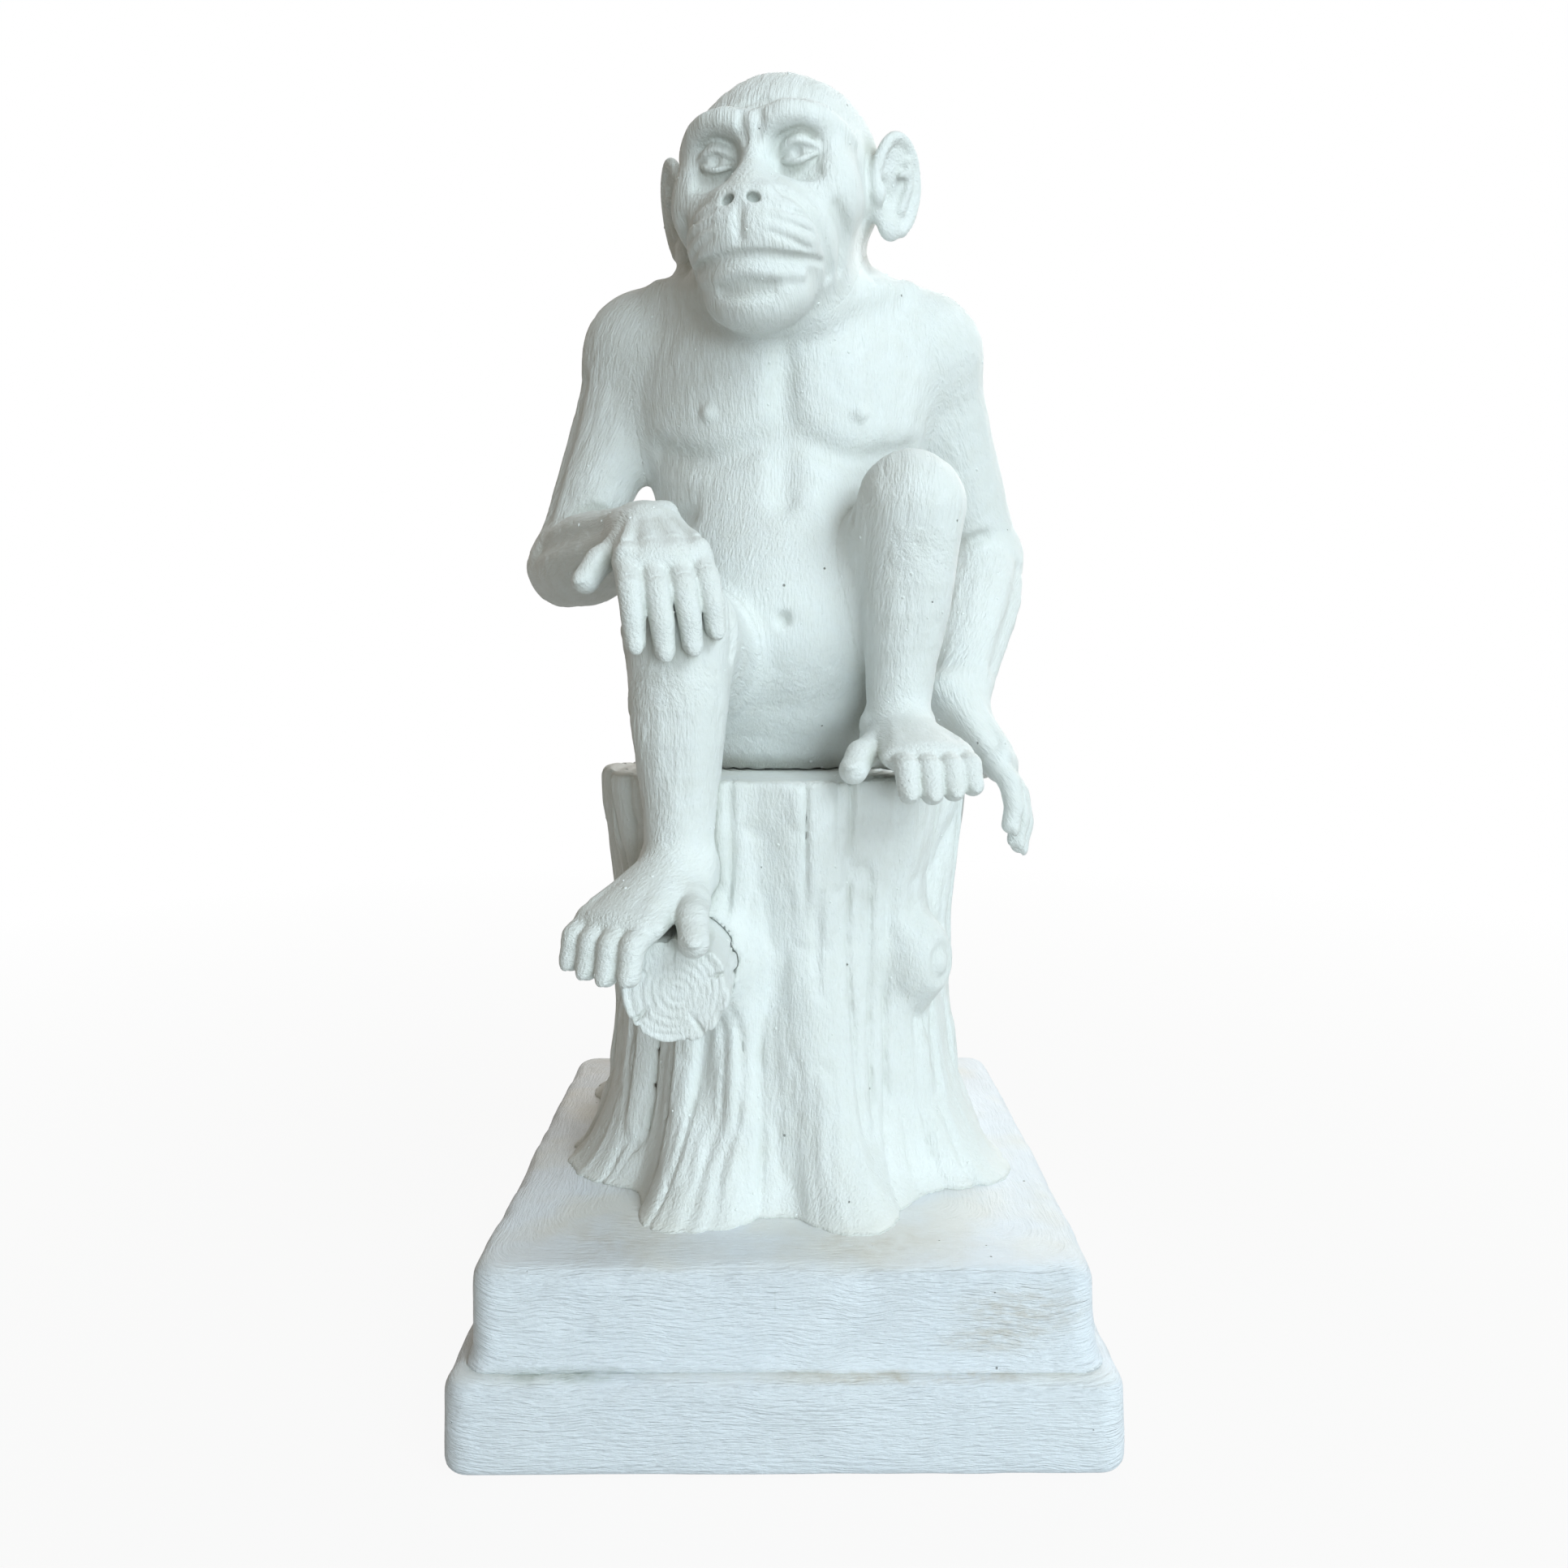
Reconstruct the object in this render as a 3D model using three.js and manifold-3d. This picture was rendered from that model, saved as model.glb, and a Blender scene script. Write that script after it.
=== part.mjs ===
// A plaster ornament 300 mm tall: a seated ape on a tree stump, on a plinth of two steps.
// It is cast in sections, which are joined over steel rods and wires and painted white.
// Millimetres, +Z up. The origin is on the table under the middle of the plinth, and the ape faces -Y.
// Left and right are the ape's own, so its left is +X.
import * as THREE from "three";
import { mergeVertices } from "three/addons/utils/BufferGeometryUtils.js";
import Module from "manifold-3d";

const wasm = await Module();
wasm.setup();

// Gaps
const plasterGap = 0.3; // between castings that meet
const rodGap = 0.3; // round a rod or a wire in its hole

// Plinth
const feltRadius = 8;
const feltThickness = 2;
const feltProud = 0.5;
const feltInset = 18; // from the foot's edge to a felt's middle
const footWidth = 140;
const footHeight = 20;
const capWidth = 130;
const capHeight = 21;
const uprightCorner = 6;
const topEdge = 3.5;
const sideDraft = 0.6; // how far each side leans in over its height
const registerWidth = 56; // square boss under the cap, which seats in the foot
const registerHeight = 6;

// Tree stump
const stumpHeight = 97;
const stumpBack = 8; // from the plinth's middle back to the stump's axis
const stumpWaist = 43;
const stumpTop = 47;
const stumpSwell = 5; // extra radius at the ground
const rimRound = 2.5;
const barkRidges = 14;
const barkDepth = 1.1;
const rootHeight = 17; // height over which a root sinks to a third of its reach
const stumpRegisterRadius = 26;
const knotAngle = 318; // degrees from +X
const knotDrop = 44; // from the seat down to the middle of the knot
const knotWidth = 8; // half the width of the bump, and how far it stands out
const knotHeight = 9.5;
const roots = [
  // The angle is from +X and the spread is half the root's width, both in degrees.
  { angle: 38, reach: 14, spread: 17 },
  { angle: 96, reach: 3, spread: 20 },
  { angle: 146, reach: 13, spread: 18 },
  { angle: 205, reach: 10, spread: 15 },
  { angle: 246, reach: 15, spread: 13 },
  { angle: 289, reach: 12, spread: 15 },
  { angle: 332, reach: 14, spread: 14 },
];

// Branch stub, the rest under the right foot
const stubRadius = 12;
const stubReach = 23.5; // from its seat to the sawn end
const stubStandoff = 0.4; // from the bark's ridges to its seat
const stubSide = 22; // from the stump's axis to the stub's, towards the right
const stubDrop = 29; // from the seat down to the stub's upper side
const collarWidth = 4; // how far the stump's collar stands round the stub

// Figure: lengths between joints, and where the joints are
const hipSpread = 17;
const hipHeight = 21; // above the seat
const hipBack = 8; // behind the stump's axis
const thighLength = 56;
const shankLength = 51;
const trunkHeight = 105; // from the seat to the shoulders
const shoulderSpread = 36;
const shoulderBack = 9;
const upperArmLength = 58;
const forearmLength = 54;
const headHeight = 135.1; // from the seat to the middle of the skull
const headForward = 13; // in front of the stump's axis
const headTurn = 14; // degrees to its right
const headNod = 6;
const neckTop = 12; // below the middle of the skull
const ankleHeight = 10;
const soleLength = 25; // from the ankle to the toes' knuckles
const toeLength = 12.5;
const palmLength = 19;
const fingerLength = 21;

// Figure: half widths and half depths
const bellyWidth = 31;
const bellyDepth = 28;
const chestWidth = 36;
const chestDepth = 27;
const neckWidth = 20;
const neckDepth = 17;
const skullWidth = 24;
const shoulderRadius = 15;
const upperArmRadius = 13.6;
const elbowRadius = 10.4;
const forearmRadius = 12;
const wristRadius = 7.6;
const palmWidth = 10.2;
const palmDepth = 5.4;
const fingerRadius = 3.1;
const thumbRadius = 3.5;
const thighRadius = 17.6;
const kneeRadius = 13;
const calfRadius = 12.8;
const shinRadius = 8.4;
const soleWidth = 10.4;
const toeRadius = 3;
const bigToeRadius = 3.9;

// Rods and wires
const spineRadius = 3;
const spineStart = 8;
const spineTop = 62; // above the seat
const neckPinRadius = 2.5;
const neckPinReach = 12; // into the head
const neckPinRoot = 9; // below the shoulders
const wireRadius = 1.25;
const socketDepth = 9;
const stubPinRadius = 2.5;
const stubPinReach = 12; // to each side of the stub's seat

const at = (x, y, z) => new THREE.Vector3(x, y, z);
const radians = THREE.MathUtils.degToRad;
const footTop = feltProud + footHeight;
const capTop = footTop + capHeight;
const seat = capTop + stumpHeight;

// A closed geometry as a solid that can be cut and joined.
function solid(geometry) {
  const bare = geometry.clone();
  bare.deleteAttribute("normal");
  bare.deleteAttribute("uv");
  const merged = mergeVertices(bare, 1e-4);
  return new wasm.Manifold(
    new wasm.Mesh({
      numProp: 3,
      vertProperties: merged.attributes.position.array,
      triVerts: new Uint32Array(merged.index.array),
    }),
  );
}

const join = (solids) => solids.reduce((whole, next) => whole.add(next));
const cut = (whole, tools) => tools.reduce((rest, tool) => rest.subtract(tool), whole);

// A skin over rings of as many points each, which run anticlockwise seen from the last ring.
function skin(rings, startPole, endPole) {
  const count = rings[0].length;
  const points = [...rings.flat(), startPole, endPole];
  const first = rings.length * count;
  const last = (rings.length - 1) * count;
  const faces = [];
  for (let ring = 0; ring < rings.length - 1; ring++) {
    for (let i = 0; i < count; i++) {
      const a = ring * count + i;
      const b = ring * count + ((i + 1) % count);
      faces.push(a, b, b + count, a, b + count, a + count);
    }
  }
  for (let i = 0; i < count; i++) {
    const next = (i + 1) % count;
    faces.push(first, next, i, first + 1, last + i, last + next);
  }
  const geometry = new THREE.BufferGeometry().setFromPoints(points);
  geometry.setIndex(faces);
  return solid(geometry);
}

// A limb: a skin round a smooth curve through stations of [middle, half width, half depth].
// The width lies along the across direction, and both ends are round.
function limb(stations, across, { sides = 12, steps = 2, grow = 0 } = {}) {
  const path = new THREE.CatmullRomCurve3(stations.map(([middle]) => middle));
  const halves = new THREE.CatmullRomCurve3(
    stations.map(([, width, depth = width]) => at(width + grow, depth + grow, 0)),
  );
  const ringAt = (t, slip) => {
    const tangent = path.getTangent(t);
    const half = halves.getPoint(t);
    const wide = across.clone().addScaledVector(tangent, -across.dot(tangent)).normalize();
    const deep = tangent.clone().cross(wide);
    const shrink = Math.cos(slip);
    const middle = path.getPoint(t).addScaledVector(tangent, Math.sin(slip) * Math.min(half.x, half.y));
    return {
      pole: middle,
      ring: Array.from({ length: sides }, (_, i) => {
        const angle = (2 * Math.PI * i) / sides;
        return middle
          .clone()
          .addScaledVector(wide, Math.cos(angle) * half.x * shrink)
          .addScaledVector(deep, Math.sin(angle) * half.y * shrink);
      }),
    };
  };
  const count = (stations.length - 1) * steps;
  const endSlip = 0.75;
  const rings = [ringAt(0, -endSlip).ring];
  for (let i = 0; i <= count; i++) rings.push(ringAt(i / count, 0).ring);
  rings.push(ringAt(1, endSlip).ring);
  return skin(rings, ringAt(0, -Math.PI / 2).pole, ringAt(1, Math.PI / 2).pole);
}

// An egg with its half sizes along X, Y and Z, turned about Z and then about Y, in degrees.
function egg(middle, [x, y, z], { turn = 0, lean = 0, grow = 0, fine = 1 } = {}) {
  const shape = new THREE.SphereGeometry(1, Math.round(12 * fine), Math.round(8 * fine));
  shape.scale(x + grow, y + grow, z + grow);
  shape.rotateZ(radians(turn));
  shape.rotateY(radians(lean));
  return solid(shape.translate(middle.x, middle.y, middle.z));
}

// A round bar between two points.
function bar(start, end, radius, endRadius = radius, sides = 12) {
  const axis = end.clone().sub(start);
  const shape = new THREE.CylinderGeometry(endRadius, radius, axis.length(), sides);
  shape.translate(0, axis.length() / 2, 0);
  shape.applyQuaternion(new THREE.Quaternion().setFromUnitVectors(at(0, 1, 0), axis.normalize()));
  return solid(shape.translate(start.x, start.y, start.z));
}

function block(low, high) {
  const size = high.clone().sub(low);
  const middle = low.clone().add(high).multiplyScalar(0.5);
  return solid(new THREE.BoxGeometry(size.x, size.y, size.z).translate(middle.x, middle.y, middle.z));
}

// The middle joint of two bones that reach from start to end, bent towards the hint.
function bend(start, end, first, second, hint) {
  const line = end.clone().sub(start);
  const reach = line.length();
  line.normalize();
  const along = (first ** 2 - second ** 2 + reach ** 2) / (2 * reach);
  const out = Math.sqrt(Math.max(0, first ** 2 - along ** 2));
  const side = hint.clone().addScaledVector(line, -hint.dot(line)).normalize();
  return start.clone().addScaledVector(line, along).addScaledVector(side, out);
}

// Points of a square ring with round corners.
function squareRing(half, corner, z) {
  const perCorner = 4;
  const ring = [];
  for (let side = 0; side < 4; side++) {
    for (let i = 0; i < perCorner; i++) {
      const angle = (Math.PI / 2) * (side + i / (perCorner - 1));
      const middle = at(half - corner, half - corner, 0).applyAxisAngle(at(0, 0, 1), (side * Math.PI) / 2);
      ring.push(middle.add(at(Math.cos(angle) * corner, Math.sin(angle) * corner, z)));
    }
  }
  return ring;
}

// One step of the plinth: upright corners and top edges are round, and the sides lean in a little.
function plinthStep(width, bottom, top) {
  const rings = [squareRing(width / 2, uprightCorner, bottom)];
  for (const angle of [0, Math.PI / 6, Math.PI / 3, Math.PI / 2]) {
    const inset = sideDraft + topEdge * (1 - Math.cos(angle));
    const z = top - topEdge * (1 - Math.sin(angle));
    rings.push(squareRing(width / 2 - inset, uprightCorner, z));
  }
  return skin(rings, at(0, 0, bottom), at(0, 0, top));
}

// Four felts, one near each corner of the foot.
const feltPlaces = [
  ["front_left", 1, -1],
  ["front_right", -1, -1],
  ["back_left", 1, 1],
  ["back_right", -1, 1],
].map(([name, x, y]) => [name, at(x, y, 0).multiplyScalar(footWidth / 2 - feltInset)]);

// A square boss under the cap, and the pocket in the foot that it seats in.
const register = (grow) => {
  const half = registerWidth / 2 + grow;
  return block(at(-half, -half, footTop - registerHeight - grow), at(half, half, footTop));
};

// The stump's radius round its axis, at a height above the plinth.
function stumpRadiusAt(angle, height) {
  const share = height / stumpHeight;
  const flare = Math.exp(-height / rootHeight);
  let radius = stumpWaist + stumpSwell * flare;
  radius += (stumpTop - stumpWaist) * THREE.MathUtils.smoothstep(share, 0.6, 1);
  for (const root of roots) {
    const away = THREE.MathUtils.euclideanModulo((angle * 180) / Math.PI - root.angle + 180, 360) - 180;
    radius += root.reach * flare * Math.exp(-((away / root.spread) ** 2));
  }
  const ridge = Math.sin(barkRidges * angle + 1.6 * Math.sin(3 * angle) + 2.2 * share);
  return radius + barkDepth * ridge;
}

function stumpBody(grow) {
  const sides = 70;
  const heights = [0, 5, 11, 18, 28, 42, 58, 74, 88].map((share) => (share / 100) * stumpHeight);
  const ringAt = (height, inset, z) =>
    Array.from({ length: sides }, (_, i) => {
      const angle = (2 * Math.PI * i) / sides;
      const radius = stumpRadiusAt(angle, height) - inset + grow;
      return at(Math.cos(angle) * radius, stumpBack + Math.sin(angle) * radius, z);
    });
  const rings = heights.map((height) => ringAt(height, 0, capTop + height));
  const rim = stumpHeight - rimRound;
  for (const slip of [0, Math.PI / 2]) {
    const z = capTop + rim + rimRound * Math.sin(slip) + grow;
    rings.push(ringAt(rim, rimRound * (1 - Math.cos(slip)), z));
  }
  return skin(rings, at(0, stumpBack, capTop), at(0, stumpBack, seat + grow));
}

// A knot where a branch has healed over: a bump with a ringed hollow.
function knot(grow) {
  const turn = at(Math.cos(radians(knotAngle)), Math.sin(radians(knotAngle)), 0);
  const place = (out) => turn.clone().multiplyScalar(stumpWaist + out).add(at(0, stumpBack, seat - knotDrop));
  const options = { turn: knotAngle - 360, grow };
  const bump = egg(place(0.5), [knotWidth, knotWidth + 1, knotHeight + 1], options);
  const bowl = egg(place(knotWidth + 1), [knotWidth * 0.4, knotWidth * 0.5, knotHeight * 0.5], options);
  const core = egg(place(knotWidth * 0.55), [knotWidth * 0.4, knotWidth * 0.28, knotHeight * 0.28], options);
  return bump.subtract(bowl).add(core);
}

const stumpRegister = (grow) =>
  bar(
    at(0, stumpBack, capTop),
    at(0, stumpBack, capTop - registerHeight - grow),
    stumpRegisterRadius + grow,
    stumpRegisterRadius + grow,
    32,
  );

// The stub runs level towards the front, from a flat seat on a collar of the stump.
const stubSeat = stumpWaist + barkDepth + stubStandoff;
const stubAxis = at(-stubSide, stumpBack - stubSeat, seat - stubDrop - stubRadius);
const stubPoint = (out) => stubAxis.clone().add(at(0, -out, 0));
const stubCollar = (grow) =>
  bar(stubPoint(-stubRadius), stubPoint(grow), stubRadius + collarWidth + grow, stubRadius + grow + 1, 20);
const stubBody = (grow) =>
  bar(stubPoint(plasterGap), stubPoint(stubReach + grow), stubRadius + grow, stubRadius * 0.94 + grow, 20);
const stubPin = (grow) =>
  bar(stubPoint(-stubPinReach - grow), stubPoint(stubPinReach + grow), stubPinRadius + grow);

// Joints of the figure. The left foot's toes grip the stump's rim and the right foot is on the stub.
const hipOf = (side) => at(side * hipSpread, stumpBack + hipBack, seat + hipHeight);
const shoulderOf = (side) => at(side * shoulderSpread, stumpBack + shoulderBack, seat + trunkHeight);
const leftAnkle = at(stumpTop * 0.57, stumpBack - stumpTop + soleLength - 1, seat + ankleHeight);
const rightAnkle = at(-stubSide - 1, stumpBack - stubSeat, seat - stubDrop + ankleHeight);
const leftKnee = bend(hipOf(1), leftAnkle, thighLength, shankLength, at(0.15, -0.5, 1));
const rightKnee = bend(hipOf(-1), rightAnkle, thighLength, shankLength, at(-0.05, -0.6, 0.8));
const leftWrist = at(stumpTop - 2, stumpBack - 2, seat + palmLength * 0.8);
const rightWrist = rightKnee.clone().add(at(-7, 9, kneeRadius + wristRadius + 1));
const leftElbow = bend(shoulderOf(1), leftWrist, upperArmLength, forearmLength, at(0.6, 1, 0));
const rightElbow = bend(shoulderOf(-1), rightWrist, upperArmLength, forearmLength, at(-0.8, 1, -0.6));
const headMiddle = at(-1, stumpBack - headForward, seat + headHeight);

// The trunk: belly, chest and back lofted over the spine, with seat, breast and shoulder masses.
function trunk(grow) {
  const across = at(1, 0, 0);
  // A place in the trunk: how far across, how far ahead in belly depths and how far up in trunk heights.
  const spot = (x, ahead, rise) =>
    at(x, stumpBack + hipBack - ahead * bellyDepth, seat + rise * trunkHeight);
  const neckRoot = headMiddle.clone().add(at(0, neckDepth / 2, -neckTop - neckDepth));
  const masses = [
    limb(
      [
        [spot(0, -0.07, 0.09), bellyWidth * 0.8, bellyDepth * 0.7],
        [spot(0, -0.02, 0.21), bellyWidth, bellyDepth * 0.93],
        [spot(0, 0.1, 0.41), bellyWidth, bellyDepth],
        [spot(0, 0.04, 0.62), (bellyWidth + chestWidth) / 2, (bellyDepth + chestDepth) / 2],
        [spot(0, -0.06, 0.82), chestWidth, chestDepth],
        [spot(0, -0.02, 0.99), chestWidth * 0.93, chestDepth * 0.85],
        [spot(0, 0.1, 1.1), chestWidth * 0.62, chestDepth * 0.6],
      ],
      across,
      { sides: 18, steps: 1, grow },
    ),
    egg(spot(0, 0.52, 0.37), [bellyWidth * 0.77, bellyDepth * 0.78, trunkHeight * 0.19], { grow }),
    limb(
      [
        [spot(0, 0, 1.01), neckWidth * 1.2, neckDepth * 1.1],
        [neckRoot, neckWidth, neckDepth],
      ],
      across,
      { sides: 14, steps: 1, grow },
    ),
  ];
  const nape = headMiddle.clone().add(at(0, neckDepth * 0.8, -neckTop - 4));
  const napeRadius = neckWidth * 0.62;
  masses.push(
    limb([[spot(0, -0.3, 1.02), napeRadius, napeRadius], [nape, napeRadius * 0.7, napeRadius * 0.7]], across, {
      sides: 10,
      steps: 1,
      grow,
    }),
  );
  for (const side of [-1, 1]) {
    const crestEnd = neckRoot.clone().add(at(0, neckDepth / 3, neckDepth / 2));
    const crest = [0.1, 0.5, 0.9].map((share) => [
      shoulderOf(side).lerp(crestEnd, share),
      shoulderRadius * 0.98,
      shoulderRadius * 0.91,
    ]);
    const seatMass = [bellyWidth * 0.53, bellyDepth * 0.67, trunkHeight * 0.155];
    const breast = [chestWidth * 0.51, chestDepth * 0.42, trunkHeight * 0.145];
    const blade = [chestWidth * 0.46, chestDepth * 0.46, trunkHeight * 0.21];
    masses.push(egg(spot(side * hipSpread * 0.87, -0.26, 0.15), seatMass, { grow }));
    const breastSpot = spot(side * chestWidth * 0.46, 0.48, 0.87);
    masses.push(egg(breastSpot, breast, { turn: side * 14, fine: 0.9, grow }));
    masses.push(egg(spot(side * chestWidth * 0.51, -0.33, 0.89), blade, { fine: 0.9, grow }));
    masses.push(limb(crest, at(0, 1, 0), { sides: 10, steps: 1, grow }));
  }
  // The furrow over the spine, and the cleft below it.
  const furrow = [
    [-0.84, 0.99, 2],
    [-1.06, 0.82, 4],
    [-0.99, 0.62, 4.4],
    [-0.95, 0.41, 4.2],
    [-1.0, 0.23, 3.6],
    [-0.96, 0.13, 4.2],
    [-0.86, 0.02, 4.4],
  ].map(([ahead, rise, radius]) => [spot(0, ahead, rise), radius - grow, radius - grow]);
  return join(masses).subtract(limb(furrow, across, { sides: 8, steps: 1 }));
}

// The head is modelled with its skull 44 mm wide about the origin and its face to -Y, then put in place.
const headScale = skullWidth / 22;
const headFrame = new THREE.Matrix4()
  .makeRotationZ(radians(-headTurn))
  .multiply(new THREE.Matrix4().makeRotationX(radians(headNod)))
  .scale(at(headScale, headScale, headScale))
  .setPosition(headMiddle);

function headBody(gap) {
  const grow = gap / headScale;
  const across = at(1, 0, 0);
  const up = at(0, 0, 1);
  const masses = [
    egg(at(0, 4, 3), [22, 24, 21], { grow, fine: 1.25 }),
    egg(at(0, -7, -14), [17, 17, 16], { grow }),
    egg(at(0, -19.5, -15), [14, 13.5, 12.5], { grow, fine: 1.2 }),
    egg(at(0, -25.5, -15), [12.6, 8.5, 8.4], { grow }),
    egg(at(0, -21.5, -25), [11.5, 9.5, 7], { grow }),
    limb(
      [
        [at(-18, -9.5, 6), 3.2, 3.6],
        [at(-9, -18.5, 8.4), 4, 4.2],
        [at(0, -20.5, 7), 3.4, 3.6],
        [at(9, -18.5, 8.4), 4, 4.2],
        [at(18, -9.5, 6), 3.2, 3.6],
      ],
      up,
      { grow, sides: 8 },
    ),
    limb(
      [
        [at(0, -18, 5), 3.2, 3.4],
        [at(0, -22, -1), 3, 3.2],
        [at(0, -28, -6), 5, 3.4],
        [at(0, -31, -8.6), 4.6, 2.4],
      ],
      across,
      { grow, sides: 8, steps: 1 },
    ),
  ];
  for (const side of [-1, 1]) {
    masses.push(egg(at(side * 13.5, -11.5, -3.5), [7.5, 7.5, 9.5], { grow, fine: 0.8 }));
    masses.push(ear(side, grow));
  }
  let shape = join(masses);
  if (grow === 0) {
    const sockets = [-1, 1].map((side) => egg(at(side * 8.6, -20.5, 2), [5.6, 4.4, 4.2], { fine: 0.8 }));
    const nostrils = [-1, 1].map((side) => egg(at(side * 2.4, -33.2, -9.6), [1.5, 1.6, 1.2], { fine: 0.5 }));
    const mouth = limb(
      [
        [at(-13.5, -20.5, -19.5), 0.7, 0.9],
        [at(-8.5, -31, -20.8), 0.9, 1.4],
        [at(0, -34.6, -20.4), 0.9, 1.6],
        [at(8.5, -31, -20.8), 0.9, 1.4],
        [at(13.5, -20.5, -19.5), 0.7, 0.9],
      ],
      up,
      { sides: 6, steps: 1 },
    );
    shape = cut(shape, [...sockets, ...nostrils, mouth]);
    for (const side of [-1, 1]) {
      shape = shape.add(egg(at(side * 8.4, -15.4, 1.8), [4.1, 4.1, 4.1], { fine: 0.8 }));
    }
  }
  return shape.transform(headFrame.elements);
}

// A round ear whose back edge stands off the skull, hollowed on its front.
function ear(side, grow) {
  const middle = at(side * 24, 3.5, 0.5);
  const shell = egg(middle, [2.8, 7.4, 10.4], { turn: -side * 34, lean: side * 6, fine: 0.9, grow });
  if (grow > 0) return shell;
  const bowl = egg(middle.clone().add(at(side * 1.7, -1.9, 0.6)), [2, 4.8, 7.6], {
    turn: -side * 34,
    lean: side * 6,
    fine: 0.7,
  });
  return shell.subtract(bowl);
}

// A finger or toe as one tapering limb, each of its bones turned down by its curl.
function digit(base, forward, down, lengths, radius, curls, grow) {
  const hinge = forward.clone().cross(down).normalize();
  const direction = forward.clone();
  const stations = [[base.clone(), radius]];
  const tip = base.clone();
  lengths.forEach((length, i) => {
    direction.applyAxisAngle(hinge, radians(curls[i]));
    tip.addScaledVector(direction, length);
    stations.push([tip.clone(), radius * (1 - 0.09 * (i + 1))]);
  });
  return limb(stations, hinge, { sides: 6, steps: 1, grow });
}

// A hand from its wrist: forward is towards the fingers, down is towards the palm.
function hand(wrist, forward, down, thumbSide, curls, grow) {
  const across = forward.clone().cross(down).normalize().multiplyScalar(thumbSide);
  // A place in the hand: along and down in millimetres, and sideways in palm widths.
  const point = (along, side, drop) =>
    wrist
      .clone()
      .addScaledVector(forward, along)
      .addScaledVector(across, side * palmWidth)
      .addScaledVector(down, drop);
  const parts = [
    limb(
      [
        [point(-4, 0, 0), palmWidth * 0.75, palmDepth * 1.1],
        [point(palmLength * 0.45, 0, palmDepth * 0.1), palmWidth * 0.94, palmDepth],
        [point(palmLength, 0, palmDepth * 0.2), palmWidth, palmDepth * 0.8],
      ],
      across,
      { sides: 10, steps: 1, grow },
    ),
  ];
  const fingers = [
    [0.75, 0.92],
    [0.26, 1.04],
    [-0.24, 1],
    [-0.71, 0.84],
  ];
  for (const [side, share] of fingers) {
    const lengths = [0.42, 0.32, 0.26].map((bone) => bone * share * fingerLength);
    const knuckle = point(palmLength - 1, side, palmDepth * 0.2);
    parts.push(digit(knuckle, forward, down, lengths, fingerRadius, curls, grow));
  }
  const thumb = forward.clone().multiplyScalar(0.75).addScaledVector(across, 0.65).normalize();
  const thumbLengths = [0.38, 0.28].map((bone) => bone * fingerLength);
  parts.push(digit(point(palmLength * 0.2, 0.73, 2), thumb, down, thumbLengths, thumbRadius, [6, 20], grow));
  return join(parts);
}

// A foot from its ankle: forward is towards the toes, and the big toe stands off on its inner side.
function foot(ankle, forward, up, inner, curls, grow) {
  const down = up.clone().negate();
  const across = forward.clone().cross(down).normalize();
  if (across.dot(inner) < 0) across.negate();
  // A place in the foot: along in millimetres, sideways in sole widths and up from the sole.
  const point = (along, side, rise) =>
    ankle
      .clone()
      .addScaledVector(forward, along)
      .addScaledVector(across, side * soleWidth)
      .addScaledVector(up, rise - ankleHeight);
  const parts = [
    limb(
      [
        [point(-soleLength * 0.27, 0, ankleHeight * 0.76), soleWidth * 0.71, ankleHeight * 0.74],
        [point(soleLength * 0.08, 0, ankleHeight * 0.8), soleWidth * 0.78, ankleHeight * 0.78],
        [point(soleLength * 0.55, 0, ankleHeight * 0.63), soleWidth * 0.88, ankleHeight * 0.61],
        [point(soleLength, 0, ankleHeight * 0.44), soleWidth, ankleHeight * 0.42],
      ],
      across,
      { sides: 10, steps: 1, grow },
    ),
  ];
  const toes = [
    [0.57, 1],
    [0.12, 1.04],
    [-0.33, 0.96],
    [-0.75, 0.82],
  ];
  for (const [side, share] of toes) {
    const lengths = [0.55, 0.45].map((bone) => bone * share * toeLength);
    const knuckle = point(soleLength - 1.5, side, ankleHeight * 0.42);
    parts.push(digit(knuckle, forward, down, lengths, toeRadius, curls, grow));
  }
  const apart = forward.clone().multiplyScalar(0.86).addScaledVector(across, 0.5).normalize();
  const bigLengths = [0.7, 0.54].map((bone) => bone * toeLength);
  const bigKnuckle = point(soleLength * 0.42, 0.82, ankleHeight * 0.53);
  parts.push(digit(bigKnuckle, apart, down, bigLengths, bigToeRadius, [4, 22], grow));
  return join(parts);
}

// Upper arm and forearm, each swelling towards its upper end.
function arm(shoulder, elbow, wrist, grow) {
  const across = elbow.clone().sub(shoulder).cross(wrist.clone().sub(elbow)).normalize();
  const between = (start, end, share) => start.clone().lerp(end, share);
  return [
    egg(shoulder, [shoulderRadius, shoulderRadius, shoulderRadius], { grow }),
    limb(
      [
        [between(shoulder, elbow, 0.05), shoulderRadius * 0.9, shoulderRadius * 0.93],
        [between(shoulder, elbow, 0.4), upperArmRadius * 0.86, upperArmRadius],
        [between(shoulder, elbow, 0.8), elbowRadius * 0.98, elbowRadius * 1.08],
        [elbow, elbowRadius * 0.98, elbowRadius],
      ],
      across,
      { sides: 10, steps: 1, grow },
    ),
    limb(
      [
        [elbow, elbowRadius * 0.96, elbowRadius * 0.98],
        [between(elbow, wrist, 0.28), forearmRadius * 0.96, forearmRadius],
        [between(elbow, wrist, 0.7), forearmRadius * 0.77, forearmRadius * 0.78],
        [wrist, wristRadius, wristRadius * 0.85],
      ],
      across,
      { sides: 10, steps: 1, grow },
    ),
  ];
}

// The direction at right angles to forward that is nearest to the one given.
const square = (direction, forward) =>
  direction.clone().addScaledVector(forward, -direction.dot(forward)).normalize();

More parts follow.
